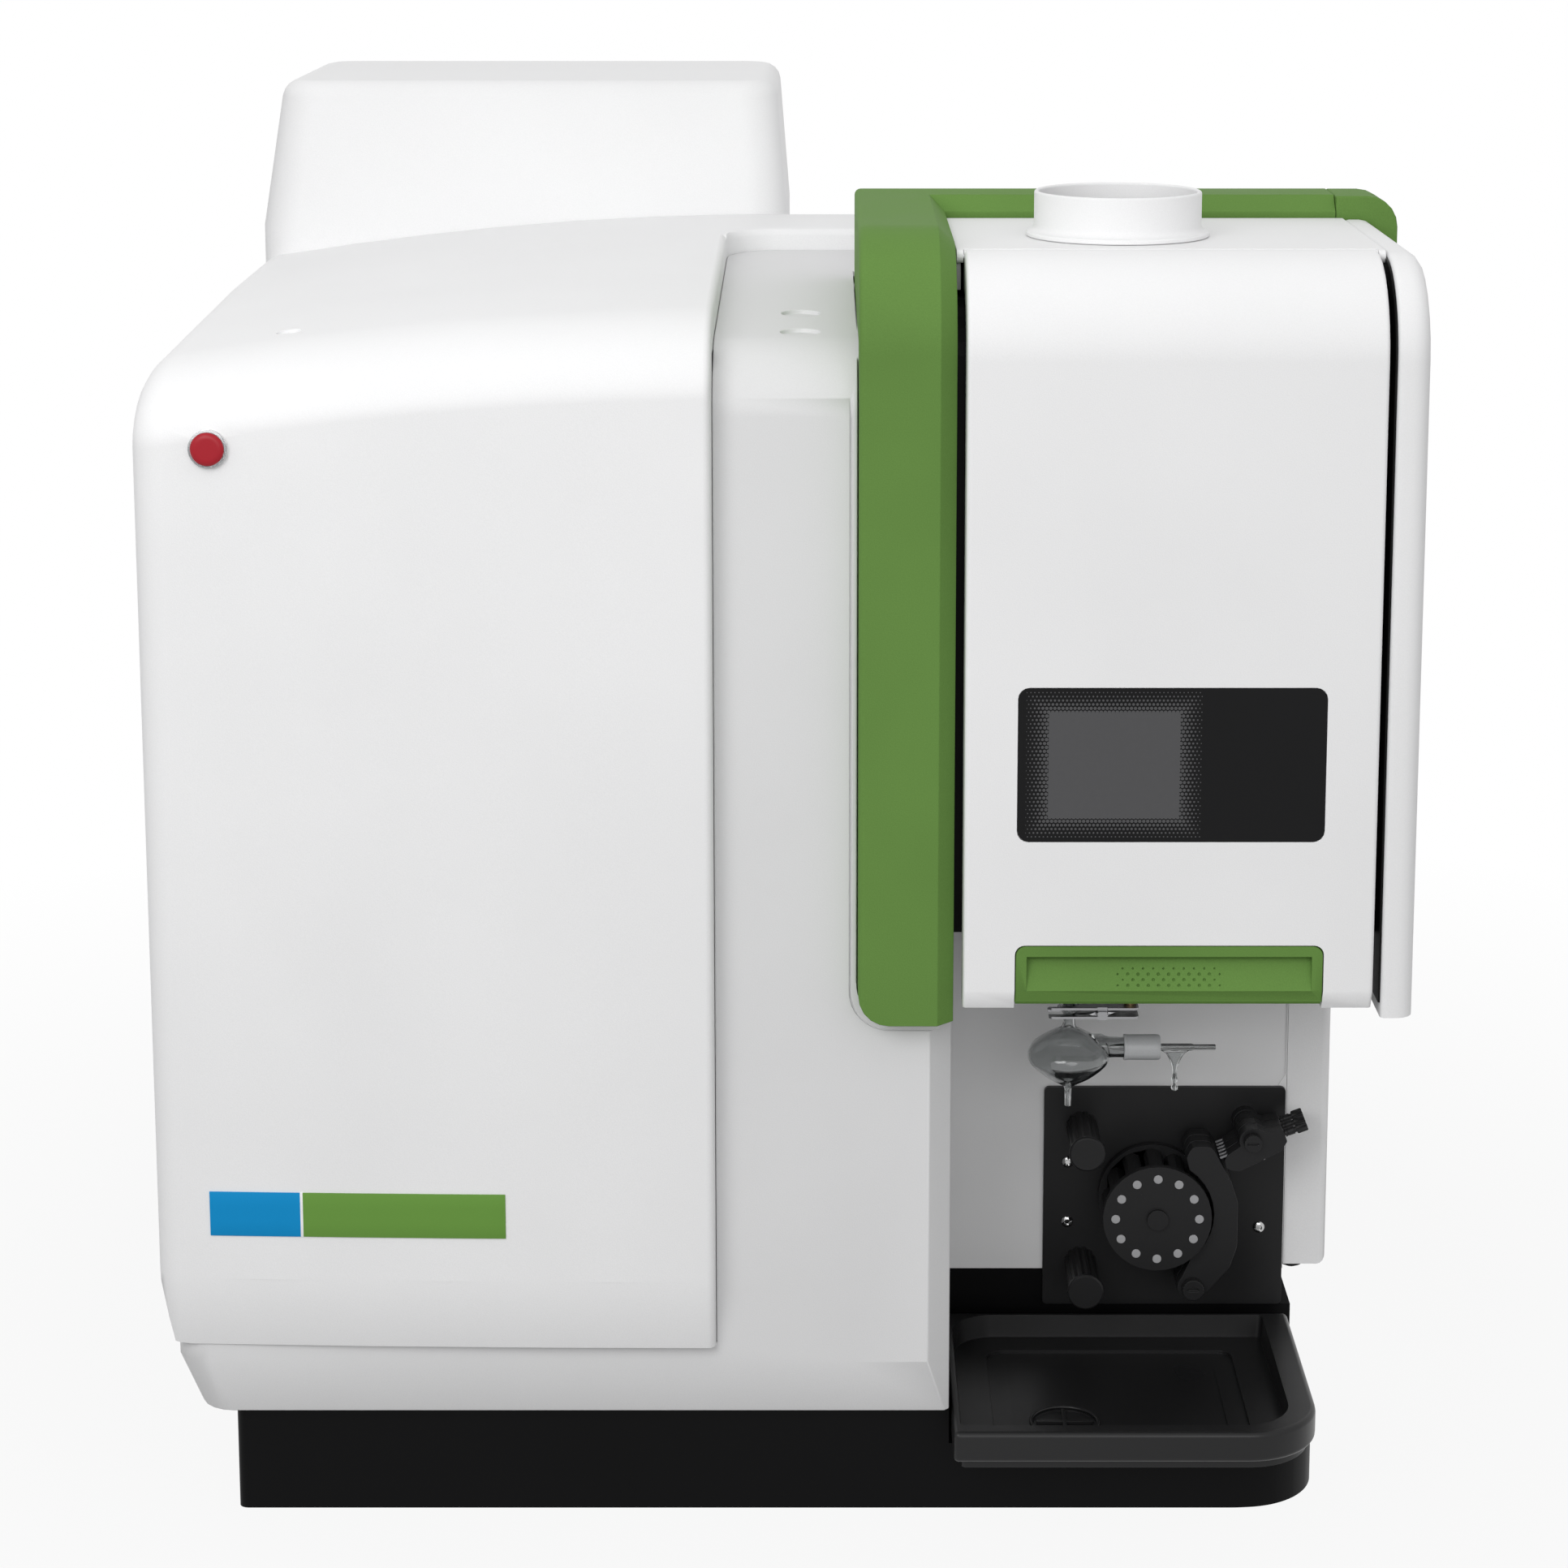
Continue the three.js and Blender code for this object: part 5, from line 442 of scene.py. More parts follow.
def window_finish(look):
    """Polished dark plate whose back is painted but for the pane and the dots around it."""
    new = new_material("Dark window plate")
    tree = new[1]
    low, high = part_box("door_window")
    wide, tall = high.x - low.x, high.z - low.z
    pane = {
        "Left": low.x + 0.099 * wide, "Right": low.x + 0.525 * wide, "Bottom": low.z + 0.155 * tall,
        "Top": low.z + 0.842 * tall, "Reach": 0.142 * tall, "Pitch": 0.0254 * tall,
    }
    mask = placed_group(tree, "Pane dots", pane)["Mask"]
    shade = add_node(
        tree, "ShaderNodeMix", {0: mask, 6: opaque(look.window), 7: opaque(look.pane)}, data_type="RGBA"
    )
    grain = {
        "Colour": shade.outputs[2], "Grain scale": 300.0, "Grain depth": 0.000004, "Mottle": 0.03,
        "Roughness": 0.2,
    }
    return coat(new, "Moulded grain", grain, Specular_IOR_Level=0.14)


def finish_all():
    moulded_grain()
    brushed_lines()
    pane_dots()
    look = settings("finish")
    # Painted highlight: the prongs are a grey twelve times as light as the black moulding, standing in for the
    # light strips along their edges.
    worn = tuple(12 * value for value in look.black)
    # Each moulded finish: name, colour, roughness, grain scale, grain depth, mottle, specular, gloss
    FINISHES.update(
        white_plastic=moulded("White moulded plastic", look.white, 0.5, 1300.0, 0.00006, 0.035, 0.25),
        white_sheet=moulded("White powder coat", look.sheet_white, 0.42, 1500.0, 0.00002, 0.03, 0.35),
        green_plastic=moulded("Green moulded plastic", look.leaf, 0.55, 1300.0, 0.00008, 0.1, 0.03),
        # The front moulding's white is greyed as painted shade.
        front_white=moulded("Front white with painted shade", look.front_white, 0.5, 1300.0, 0.00006, 0.035, 0.25),
        black_plastic=moulded("Black moulded plastic", look.black, 0.38, 1500.0, 0.00002, 0.12, 0.18),
        # The plinth's deep black holds painted shade of the skirt above it.
        plinth_black=moulded("Plinth black with painted shade", look.plinth_black, 0.4, 1500.0, 0.00002, 0.12, 0.08),
        tray_black=moulded("Black tray", look.tray_black, 0.3, 1500.0, 0.000008, 0.1, 0.28),
        black_gloss=window_finish(look),
        black_sheet=moulded("Black powder coat", look.plinth_black, 0.5, 1600.0, 0.00002, 0.1, 0.12),
        red_plastic=moulded("Red push cap", look.red, 0.35, 700.0, 0.000004, 0.03, 0.2, 0.05),
        clear_plastic=clear("Clear bezel plastic", look.bezel, 0.08),
        soft_rubber=moulded("Black rubber", look.black, 0.75, 1300.0, 0.00003, 0.1, 0.12),
        steel=metal("Bright stainless steel", look.steel, 0.22),
        aluminium=metal("Bare aluminium", look.aluminium, 0.34, 1200.0),
        # The glass's grey tint is painted shade.
        clear_glass=clear("Blown laboratory glass", look.glass, 0.01),
        frosted_plastic=moulded("Frosted cap plastic", look.frosted, 0.36, mottle=0.06, specular=0.5),
        ceramic=moulded("Machined white polymer", look.ceramic, 0.45, 600.0),
        plate_blue=moulded("Plate blue", look.plate_blue, 0.38, 900.0, 0.000006, 0.02, 0.15),
        plate_green=moulded("Plate green", look.plate_green, 0.38, 900.0, 0.000006, 0.02, 0.15),
        plate_line=moulded("Plate line", look.white, 0.38, 900.0, 0.000006, 0.02),
        clamp_steel=metal("Dull clamp steel", look.clamp_steel, 0.3),
        bronze=metal("Bronze screw", look.bronze, 0.3),
        roller_grey=moulded("Grey roller ends", look.roller_grey, 0.45),
        worn_black=moulded("Black prongs with painted highlight", worn, 0.35, mottle=0.1, specular=0.5),
        chrome=metal("Plated screw", look.plated, 0.09),
    )


def dress(piece, *names):
    """Gives the piece these finishes in place of any that it has."""
    piece.data.materials.clear()
    for name in names:
        piece.data.materials.append(FINISHES[name])


# Modelling helpers


def mm(*values):
    return tuple(value * MM for value in values)


def in_mm(stations):
    return [mm(*station) for station in stations]


def object_mode():
    if bpy.context.mode != "OBJECT":
        bpy.ops.object.mode_set(mode="OBJECT")


def deselect():
    object_mode()
    bpy.ops.object.select_all(action="DESELECT")


def only(piece):
    """Leaves just this piece selected and active."""
    deselect()
    piece.select_set(True)
    bpy.context.view_layer.objects.active = piece


def edit(piece, faces=None, edges=None, points=None):
    """Edit mode with all selected, or only the faces, edges or points that pass the test."""
    only(piece)
    mesh = piece.data
    kinds = ((mesh.vertices, points), (mesh.edges, edges), (mesh.polygons, faces))
    tested = [index for index, (_, test) in enumerate(kinds) if test]
    if tested:
        chosen = tested[0]
        for index, (items, test) in enumerate(kinds):
            for item in items:
                item.select = index == chosen and test(item)
        bpy.context.tool_settings.mesh_select_mode = tuple(index == chosen for index in range(3))
    bpy.ops.object.mode_set(mode="EDIT")
    if not tested:
        bpy.ops.mesh.select_all(action="SELECT")


def shift(piece, by, points):
    """Moves the points that pass the test."""
    edit(piece, points=points)
    bpy.ops.transform.translate(value=by)
    object_mode()


def settle(piece):
    """Back to object mode, with the object's place and turn put into its mesh."""
    only(piece)
    bpy.ops.object.transform_apply(location=True, rotation=True, scale=True)
    return piece


def placed(piece, place, turn=(0.0, 0.0, 0.0)):
    piece.rotation_euler = turn
    piece.location = place
    return settle(piece)


def apply_modifier(piece, kind, **values):
    modifier = piece.modifiers.new(kind.title(), kind)
    for name, value in values.items():
        setattr(modifier, name, value)
    only(piece)
    bpy.ops.object.modifier_apply(modifier=modifier.name)
    return piece


def round_over(piece, width, segments=2, degrees=50, **values):
    """Rounds the edges whose faces turn by more than this angle."""
    apply_modifier(
        piece, "BEVEL", width=width, segments=segments, limit_method="ANGLE",
        angle_limit=math.radians(degrees), use_clamp_overlap=True, **values,
    )


def rounded_corner(piece, radius, **lies_at):
    """Rounds the edge whose ends both lie at these coordinates."""
    ends = piece.data.vertices
    edit(piece, edges=lambda edge: all(
        abs(getattr(ends[index].co, axis) - value) < NEXT_TO_NOTHING
        for index in edge.vertices for axis, value in lies_at.items()
    ))
    bpy.ops.mesh.bevel(offset=radius, segments=12, affect="EDGES")
    object_mode()
    return piece


def smooth(piece, degrees=None):
    only(piece)
    limit = math.radians(degrees) if degrees else settings("edge").smooth
    bpy.ops.object.shade_smooth_by_angle(angle=limit)


def weigh_normals(piece):
    """Flat faces keep their own shade where they meet a rounding."""
    smooth(piece)
    apply_modifier(piece, "WEIGHTED_NORMAL", mode="FACE_AREA", weight=50, keep_sharp=True)


def outward(piece):
    edit(piece)
    bpy.ops.mesh.remove_doubles(threshold=WELD)
    bpy.ops.mesh.normals_make_consistent(inside=False)
    object_mode()
    return piece


def latest(name):
    piece = bpy.context.view_layer.objects.active
    piece.name = piece.data.name = name
    return piece


def finished(piece, body):
    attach(piece, body)
    return piece


def stands_for(piece, node):
    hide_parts(node)
    return finished(piece, BODIES[node])


def replacing(piece, node, degrees=None):
    """Dresses and shades the piece, which stands for a CAD node."""
    dress(piece, SLOTS[node])
    smooth(piece, degrees)
    return stands_for(piece, node)


def added(piece, finish, body="cabinet", shade=smooth):
    """Dresses and shades a piece that stands for no node."""
    dress(piece, finish)
    shade(piece)
    return finished(piece, body)


def finer_copy(node, name, edge=0.0, split_at=None):
    """A merged copy of a CAD node with rounded edges and even shading, which stands for the node.

    split_at is an x where the faces are split, so that the shading of a pocket's corner stays beside it.
    """
    mesh = frame["nodes"][node].data.copy()
    mesh.name = name
    piece = bpy.data.objects.new(name, mesh)
    dress(piece, SLOTS[node])
    bpy.context.scene.collection.objects.link(piece)
    only(piece)
    if mesh.has_custom_normals:
        bpy.ops.mesh.customdata_custom_splitnormals_clear()
    edit(piece)
    bpy.ops.mesh.remove_doubles(threshold=2 * WELD)
    nearly_flat = math.radians(0.4)
    bpy.ops.mesh.dissolve_limited(angle_limit=nearly_flat)
    if split_at is not None:
        bpy.ops.mesh.select_all(action="SELECT")
        bpy.ops.mesh.bisect(plane_co=(split_at, 0, 0), plane_no=(1, 0, 0))
    object_mode()
    if edge:
        round_over(piece, edge, 3, 32, miter_outer="MITER_ARC")
    weigh_normals(piece)
    return stands_for(piece, node)


def round_size(node):
    """The middle and the radius of a round node, measured along X."""
    low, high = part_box(node)
    return (low + high) / 2, (high.x - low.x) / 2


def block(name, low, high):
    """A box between two corners."""
    low, high = Vector(low), Vector(high)
    deselect()
    bpy.ops.mesh.primitive_cube_add(size=1.0, location=(low + high) / 2)
    piece = latest(name)
    piece.scale = high - low
    return settle(piece)


def drawn(name, stations, sides=64):
    """A closed form drawn up along Z through (half width, half depth, height) stations."""
    (wide, deep, level), *rest = stations
    deselect()
    bpy.ops.mesh.primitive_circle_add(
        vertices=sides, radius=1.0, fill_type="NGON", location=(0, 0, level)
    )
    piece = latest(name)
    piece.scale = (wide, deep, 1.0)
    settle(piece)
    edit(piece)
    for next_wide, next_deep, next_level in rest:
        bpy.ops.mesh.extrude_region_move(TRANSFORM_OT_translate={"value": (0, 0, next_level - level)})
        bpy.ops.transform.resize(
            value=(next_wide / wide, next_deep / deep, 1.0), center_override=(0, 0, next_level)
        )
        wide, deep, level = next_wide, next_deep, next_level
    object_mode()
    return outward(piece)


def turned(name, profile, place, turn=(0.0, 0.0, 0.0), sides=64, bored=False):
    """A turned piece: a circle drawn out along its axis through (radius, height) stations."""
    piece = drawn(name, [(radius, radius, height) for radius, height in profile], sides)
    if bored:
        edit(piece, faces=lambda face: len(face.vertices) == sides)
        bpy.ops.mesh.delete(type="FACE")
        bpy.ops.mesh.select_mode(type="EDGE")
        bpy.ops.mesh.select_all(action="DESELECT")
        bpy.ops.mesh.select_non_manifold()
        bpy.ops.mesh.bridge_edge_loops()
        outward(piece)
    return placed(piece, place, turn)


def combined(piece, operation, *others):
    """The piece with the others joined to it or cut from it."""
    for other in others:
        apply_modifier(piece, "BOOLEAN", operation=operation, object=other, solver="EXACT")
        bpy.data.objects.remove(other)
    return piece


def round_points(radius, start, end, steps):
    """Points of a circle about its centre; the angles are in degrees."""
    turns = [math.radians(start + (end - start) * step / steps) for step in range(steps + 1)]
    return [(radius * math.cos(turn), radius * math.sin(turn)) for turn in turns]


def through(points, steps):
    """A smooth run of stations through the points."""
    run = []
    last = len(points) - 1
    for index in range(last):
        before, first, second, after = (
            Vector(points[min(max(index + offset, 0), last)]) for offset in (-1, 0, 1, 2)
        )
        for step in range(steps):
            t = step / steps
            spot = (
                first + 0.5 * t * (second - before)
                + t * t * (before - 2.5 * first + 2.0 * second - 0.5 * after)
                + t ** 3 * (1.5 * (first - second) + 0.5 * (after - before))
            )
            run.append(tuple(spot))
    return run + [tuple(points[last])]


def inset_run(run, wall):
    """The same run, moved towards the axis by the wall's thickness."""
    inner = []
    for index, spot in enumerate(run):
        along = Vector(run[min(index + 1, len(run) - 1)]) - Vector(run[max(index - 1, 0)])
        side = Vector((along.y, -along.x)).normalized()
        inner.append((spot[0] - wall * side.x, spot[1] - wall * side.y))
    return inner


def ray_depth(piece):
    """A function that gives the y of the piece's front surface at (x, z)."""
    def depth(x, z):
        hit, place, _, _ = piece.ray_cast(Vector((x, FRONT - 0.1, z)), Vector((0, 1, 0)))
        if not hit:
            raise RuntimeError("nothing of " + piece.name + " lies behind this place")
        return place.y

    return depth


# Pieces


class SPECTROMETER_OT_finishes(bpy.types.Operator):
    """Makes the finishes and gives every CAD node its own."""

    bl_idname = "spectrometer.finishes"
    bl_label = "Finishes"

    def execute(self, context):
        finish_all()
        for node, piece in frame["nodes"].items():
            dress(piece, SLOTS[node])
        return {"FINISHED"}


def hem(sheet):
    """The rear panel's upturned edge, and the plate that closes the corner beside the tower."""
    low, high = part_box("rear_panel")
    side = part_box("rear_housing")[0].x
    # Left end, right end and rise of the strips under the left cover and under the rear housing
    spans = ((side - 54 * MM, side - 1.5 * MM, 10.5 * MM), (side + 4 * MM, high.x - MM, 9.5 * MM))
    inset, lap = 0.2 * MM, 2 * MM
    for left, right, rise in spans:
        strip = block("hem", (left, low.y + inset, high.z - lap), (right, high.y - inset, high.z + rise))
        combined(sheet, "UNION", strip)
    weigh_normals(sheet)
    corner = block("rear_corner_cover", (side - 62 * MM, 0, -2.5 * MM), (side - 0.9 * MM, 53 * MM, 0))
    slope_of_cover = (math.radians(-9.09), 0.0, 0.0)
    placed(corner, (0, high.y - 48 * MM, high.z + 19 * MM), slope_of_cover)
    round_over(corner, 0.8 * MM)
    added(corner, SLOTS["left_cover"], shade=weigh_normals)


def rounder_plinth(plinth):
    """Rounds the plinth's front right corner, which the solids draw with a few faces."""
    low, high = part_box("base_plinth")
    reach = 75 * MM
    points = plinth.data.vertices

    def upright(edge):
        one, other = (points[index].co for index in edge.vertices)
        near = one.x > high.x - reach and one.y < low.y + reach
        return near and (one - other).xy.length < NEXT_TO_NOTHING and abs(one.z - other.z) > 10 * MM

    edit(plinth, edges=upright)
    bpy.ops.mesh.bevel(offset=7 * MM, segments=4, affect="EDGES", clamp_overlap=True)
    object_mode()
    # Its black holds painted shade of the skirt above it.
    dress(plinth, "plinth_black")
    weigh_normals(plinth)


def closer_frame(piece):
    """Lets the green frame's left face and foot lie closer in their pocket."""
    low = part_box("green_frame")[0]
    shift(piece, mm(-0.7, 0, 0), lambda spot: spot.co.x < low.x + 22 * MM)
    shift(piece, mm(0, 0, -5), lambda spot: spot.co.z < low.z + 20 * MM)


def seam(liner):
    """The groove between the two sheets of the bay's back wall, down to the pump's plate."""
    groove = block("groove", mm(327.2, -201, 232), mm(328.8, -198.6, 381))
    slope = block("slope", mm(-0.8, -0.85, -5), mm(0.8, 1.55, 5))
    placed(slope, mm(325.5, -200.15, 227.8), (0.0, math.radians(32), 0.0))
    combined(liner, "DIFFERENCE", groove, slope)
    weigh_normals(liner)


class SPECTROMETER_OT_mouldings(bpy.types.Operator):
    """Gives the covers, the frame, the plinth and the bay's wall rounded edges and even shading."""

    bl_idname = "spectrometer.mouldings"
    bl_label = "Covers and mouldings"

    def execute(self, context):
        edge = settings("edge")
        covers = {
            "left_cover": 0.0, "rear_tower": 0.0, "front_moulding": edge.cover, "rear_housing": 0.0,
            "lower_side_panel": 0.0, "right_side_cover": 0.0, "top_cover": edge.cover,
            "torch_door": edge.cover, "bay_liner": edge.cover,
        }
        splits = {"front_moulding": 38.0 * MM}
        shells = {
            node: finer_copy(node, node + "_shell", width, splits.get(node))
            for node, width in covers.items()
        }
        closer_frame(finer_copy("green_frame", "green_frame_moulding", edge.frame))
        finer_copy("green_side_band", "green_side_band_moulding", edge.frame)
        # The front moulding gets the greyer white of painted shade.
        dress(shells["front_moulding"], "front_white")
        # Painted light: the lower side panel takes the covers' white, lighter than its own sheet white, to make up
        # for the shade that the side cover casts on it.
        dress(shells["lower_side_panel"], "white_plastic")
        rounder_plinth(finer_copy("base_plinth", "base_plinth_moulding"))
        hem(finer_copy("rear_panel", "rear_panel_sheet"))
        seam(shells["bay_liner"])
        return {"FINISHED"}


def corner_block(name, corner, depths, far):
    """A block given by the x, z and radius of its one rounded corner, its depths and its far corner."""
    x, z, radius = corner
    piece = block(name, (x, depths[0], z), (far[0], depths[1], far[1]))
    return rounded_corner(piece, radius, x=x, z=z)


def frame_lip():
    """The lip in the pocket round the green frame's foot, and the groove along its outside."""
    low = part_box("green_frame")[0]
    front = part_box("front_moulding")[0].y
    moulding = bpy.data.objects["front_moulding_shell"]
    outer = (low.x - 4.9 * MM, low.z - 13.5 * MM, 24 * MM)
    inner = (low.x - 1.4 * MM, low.z - 5.7 * MM, 20 * MM)
    wide, deep = 1.3 * MM, 2.2 * MM
    around = (outer[0] - wide, outer[1] - wide, outer[2] + wide)
    end, top, join = low.x + 50 * MM, low.z + 380 * MM, low.z + 16 * MM
    past = 10 * MM
    groove = corner_block("groove", around, (front - past, front + deep), (end, top))
    core = corner_block("core", outer, (front - 2 * past, front + 2 * past), (end + past, top + past))
    combined(moulding, "DIFFERENCE", combined(groove, "DIFFERENCE", core))
    weigh_normals(moulding)
    lip = corner_block("frame_lip", outer, (front - 0.1 * MM, front + 8 * MM), (end, join))
    within = corner_block("within", inner, (front - past, front + 2 * past), (end + past, join + past))
    combined(lip, "DIFFERENCE", within)
    round_over(lip, 0.4 * MM)
    # The lip takes the front moulding's greyer white, painted shade.
    added(lip, "front_white", shade=weigh_normals)


def gap_shade_sheet():
    """A black sheet in the gap beside the door, which follows the side cover's round shoulder. It is painted
    shade: it darkens the gap where the side cover's inner face would show lit.
    """
    low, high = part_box("right_side_cover")
    front, top, shoulder = low.y + 3 * MM, high.z - 3 * MM, 57 * MM
    near, far = (low.x - 1.3 * MM, front, low.z + 9 * MM), (low.x - 0.1 * MM, front + 70 * MM, top)
    piece = rounded_corner(block("door_gap_shade_sheet", near, far), shoulder, y=front, z=top)
    # Painted shade: the sheet is black so that the gap reads as dark as shade.
    added(piece, "plinth_black")


class SPECTROMETER_OT_trims(bpy.types.Operator):
    """Adds the lip round the green frame and the black sheet that paints the shade in the gap beside the door."""

    bl_idname = "spectrometer.trims"
    bl_label = "Lip and strip"

    def execute(self, context):
        frame_lip()
        gap_shade_sheet()
        return {"FINISHED"}


def slab(name, insets, levels, **corners_of):
    """A slab inside the tray's outline, set in at its left, front, right and rear, with rounded corners.

    The insets and the corners' radii are in millimetres.
    """
    low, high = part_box("drip_tray")
    left, front, right, rear = mm(*insets)
    x0, y0, x1, y1 = low.x + left, low.y + front, high.x - right, high.y - rear
    piece = block(name, (x0, y0, levels[0]), (x1, y1, levels[1]))
    spots = {
        "front_left": (x0, y0), "front_right": (x1, y0), "rear_left": (x0, y1), "rear_right": (x1, y1),
    }
    for corner, (x, y) in spots.items():
        rounded_corner(piece, corners_of.get(corner, 3.5) * MM, x=x, y=y)
    return piece


def drain_fitting(place, tray):
    """The raised ring and the cross of the drain."""
    deselect()
    bpy.ops.mesh.primitive_torus_add(
        location=place, major_radius=tray.drain_radius - 1.2 * MM, minor_radius=1.1 * MM,
        major_segments=72, minor_segments=12,
    )
    ring = settle(latest("drain_ring"))
    half, arm, rise, root = 1.3 * MM, tray.drain_radius - 4.5 * MM, 0.9 * MM, 2 * MM
    for size in ((arm, half), (half, arm)):
        reach = Vector((*size, 0))
        bar = block("bar", place - reach - Vector((0, 0, root)), place + reach + Vector((0, 0, rise)))
        round_over(bar, 0.6 * MM)
        combined(ring, "UNION", bar)
    added(ring, "tray_black", BODIES["drip_tray"])


class SPECTROMETER_OT_tray(bpy.types.Operator):
    """Moulds the drip tray: a rolled rim on a narrower foot, a floor that falls to the front, a drain."""

    bl_idname = "spectrometer.tray"
    bl_label = "Drip tray"

    def execute(self, context):
        tray = settings("tray")
        low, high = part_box("drip_tray")
        floor, lower_floor, over = tray.floor, tray.floor - tray.dip, 5 * MM
        levels = (low.z + tray.foot, tray.top)
        piece = slab("drip_tray_moulding", (0, 0, 0, 0), levels, front_right=46)
        round_over(piece, tray.rim_radius, 4)
        foot = slab("foot", (5, 5, 5, 1), (low.z, low.z + tray.foot + MM), front_right=41)
        combined(piece, "UNION", foot)
        levels = (floor, tray.top + over)
        basin = slab("basin", (4.2, 11, 17, 4.4), levels, front_right=33, rear_left=28)
        edit(basin, points=lambda spot: spot.co.z < floor + MM)
        draft = (0.982, 0.965, 1.0)
        bpy.ops.transform.resize(value=draft, center_override=tuple((low + high) / 2))
        levels = (lower_floor, floor + over)
        recess = slab("recess", (27, 16, 41.2, 29.5), levels, front_right=12, rear_left=12, rear_right=9)
        combined(piece, "DIFFERENCE", basin, recess)
        drain = Vector((low.x + 72.5 * MM, low.y + 52 * MM, lower_floor))
        bore = tray.drain_radius - 2.6 * MM
        combined(piece, "DIFFERENCE", turned("dish", [(bore, -tray.dip), (bore, over)], drain))
        round_over(piece, 0.9 * MM, 3)
        levels = (lower_floor + 0.02 * MM, floor + over)
        fall = slab("fall", (40, 18, 54.6, 48), levels, front_right=6)
        about = Vector((0, high.y - 48 * MM, lower_floor))
        turn = math.radians(0.8)
        placed(fall, about - Matrix.Rotation(turn, 3, "X") @ about, (turn, 0.0, 0.0))
        combined(piece, "DIFFERENCE", fall)
        dress(piece, "tray_black")
        weigh_normals(piece)
        stands_for(piece, "drip_tray")
        drain_fitting(drain, tray)
        return {"FINISHED"}


class SPECTROMETER_OT_plate(bpy.types.Operator):
    """Lays the bare two-tone plate on the left cover's curved front."""

    bl_idname = "spectrometer.plate"
    bl_label = "Two-tone plate"

    def execute(self, context):
        plate = settings("plate")
        before, reach = 10 * MM, 20 * MM
        deselect()
        centre = (-plate.left + plate.width / 2, FRONT - before, plate.bottom + plate.height / 2)
        bpy.ops.mesh.primitive_grid_add(
            x_subdivisions=24, y_subdivisions=3, size=1.0, location=centre, rotation=FORWARD
        )
        piece = latest("two_tone_plate")
        piece.scale = (plate.width, plate.height, 1.0)
        settle(piece)
        line_start = -plate.left + plate.blue_share * plate.width
        line_end = line_start + plate.line_share * plate.width
        for x in (line_start, line_end):
            edit(piece)
            bpy.ops.mesh.bisect(plane_co=(x, 0, 0), plane_no=(1, 0, 0))
        apply_modifier(
            piece, "SHRINKWRAP", target=bpy.data.objects["left_cover_shell"], wrap_method="PROJECT",
            use_project_y=True, use_project_x=False, use_project_z=False,
            use_positive_direction=True, use_negative_direction=True,
        )
        if abs(min(vertex.co.y for vertex in piece.data.vertices) - FRONT) > reach:
            raise RuntimeError("the two-tone plate missed the cover")
        apply_modifier(piece, "SOLIDIFY", thickness=plate.thickness, offset=1.0)
        outward(piece)
        round_over(piece, plate.corner)
        dress(piece, "plate_blue", "plate_line", "plate_green")
        for face in piece.data.polygons:
            x = face.center.x
            face.material_index = 0 if x < line_start else (1 if x < line_end else 2)
        smooth(piece)
        finished(piece, "cabinet")
        return {"FINISHED"}


def pit_places(grip):
    """Pits of the handle's scooped face, as (x, z, radius), from the lowest row up."""
    low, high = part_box("door_handle")
    middle = (low.x + high.x) / 2
    places = []
    for row in range(4):
        full = grip.columns - row % 2
        height = low.z + grip.middle + (row - 1.5) * grip.row_pitch
        for column in range(-1, full + 1):
            at_edge = row == 3 or column in (-1, full)
            x = middle + (column - (full - 1) / 2) * grip.pitch
            places.append((x, height, grip.small_radius if at_edge else grip.radius))
    return places


class SPECTROMETER_OT_door_fittings(bpy.types.Operator):
    """Finishes the handle with its field of pits, and the dark window."""

    bl_idname = "spectrometer.door_fittings"
    bl_label = "Handle and window"

    def execute(self, context):
        edge, grip = settings("edge"), settings("handle")
        handle = finer_copy("door_handle", "door_handle_moulding", edge.handle)
        surface = ray_depth(handle)
        taper = 0.8
        pits = []
        for x, z, radius in pit_places(grip):
            bpy.ops.mesh.primitive_cone_add(
                vertices=16, radius1=radius, radius2=taper * radius, depth=2 * grip.depth,
                location=(x, surface(x, z), z), rotation=(math.radians(-90), 0, 0),
            )
            pits.append(latest("pit"))
        only(pits[0])
        for pit in pits:
            pit.select_set(True)
        bpy.ops.object.join()
        combined(handle, "DIFFERENCE", settle(latest("pits")))
        weigh_normals(handle)
        finer_copy("door_window", "door_window_plate", edge.pressed)
        return {"FINISHED"}


class SPECTROMETER_OT_collar(bpy.types.Operator):
    """Turns the exhaust collar with its foot, fillet and rounded mouth."""

    bl_idname = "spectrometer.collar"
    bl_label = "Exhaust collar"

    def execute(self, context):
        low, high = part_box("exhaust_collar")
        middle, base = round_size("exhaust_collar")
        foot_share, tube_share = 0.1884, 0.9123
        foot = low.z + foot_share * (high.z - low.z)
        tube = tube_share * base
        half_wall = 1.5 * MM
        spigot, bore = tube - half_wall, tube - 2 * half_wall
        flare = 4.4 * MM
        fillet = [
            (tube + flare - down, foot + 3 * MM + flare - over)
            for over, down in round_points(flare, 0, 90, 6)
        ]
        mouth = [
            (spigot + across, high.z - half_wall + up)
            for across, up in round_points(half_wall, 0, 180, 8)
        ]
        edge = 0.6 * MM
        profile = [
            (spigot, low.z), (spigot, foot), (base - edge, foot), (base, foot + edge),
            (base, foot + 2.2 * MM), (base - edge, foot + 2.9 * MM), *fillet, *mouth, (bore, low.z),
        ]
        piece = turned("exhaust_collar_turned", profile, (middle.x, middle.y, 0), sides=128, bored=True)
        replacing(piece, "exhaust_collar")
        return {"FINISHED"}


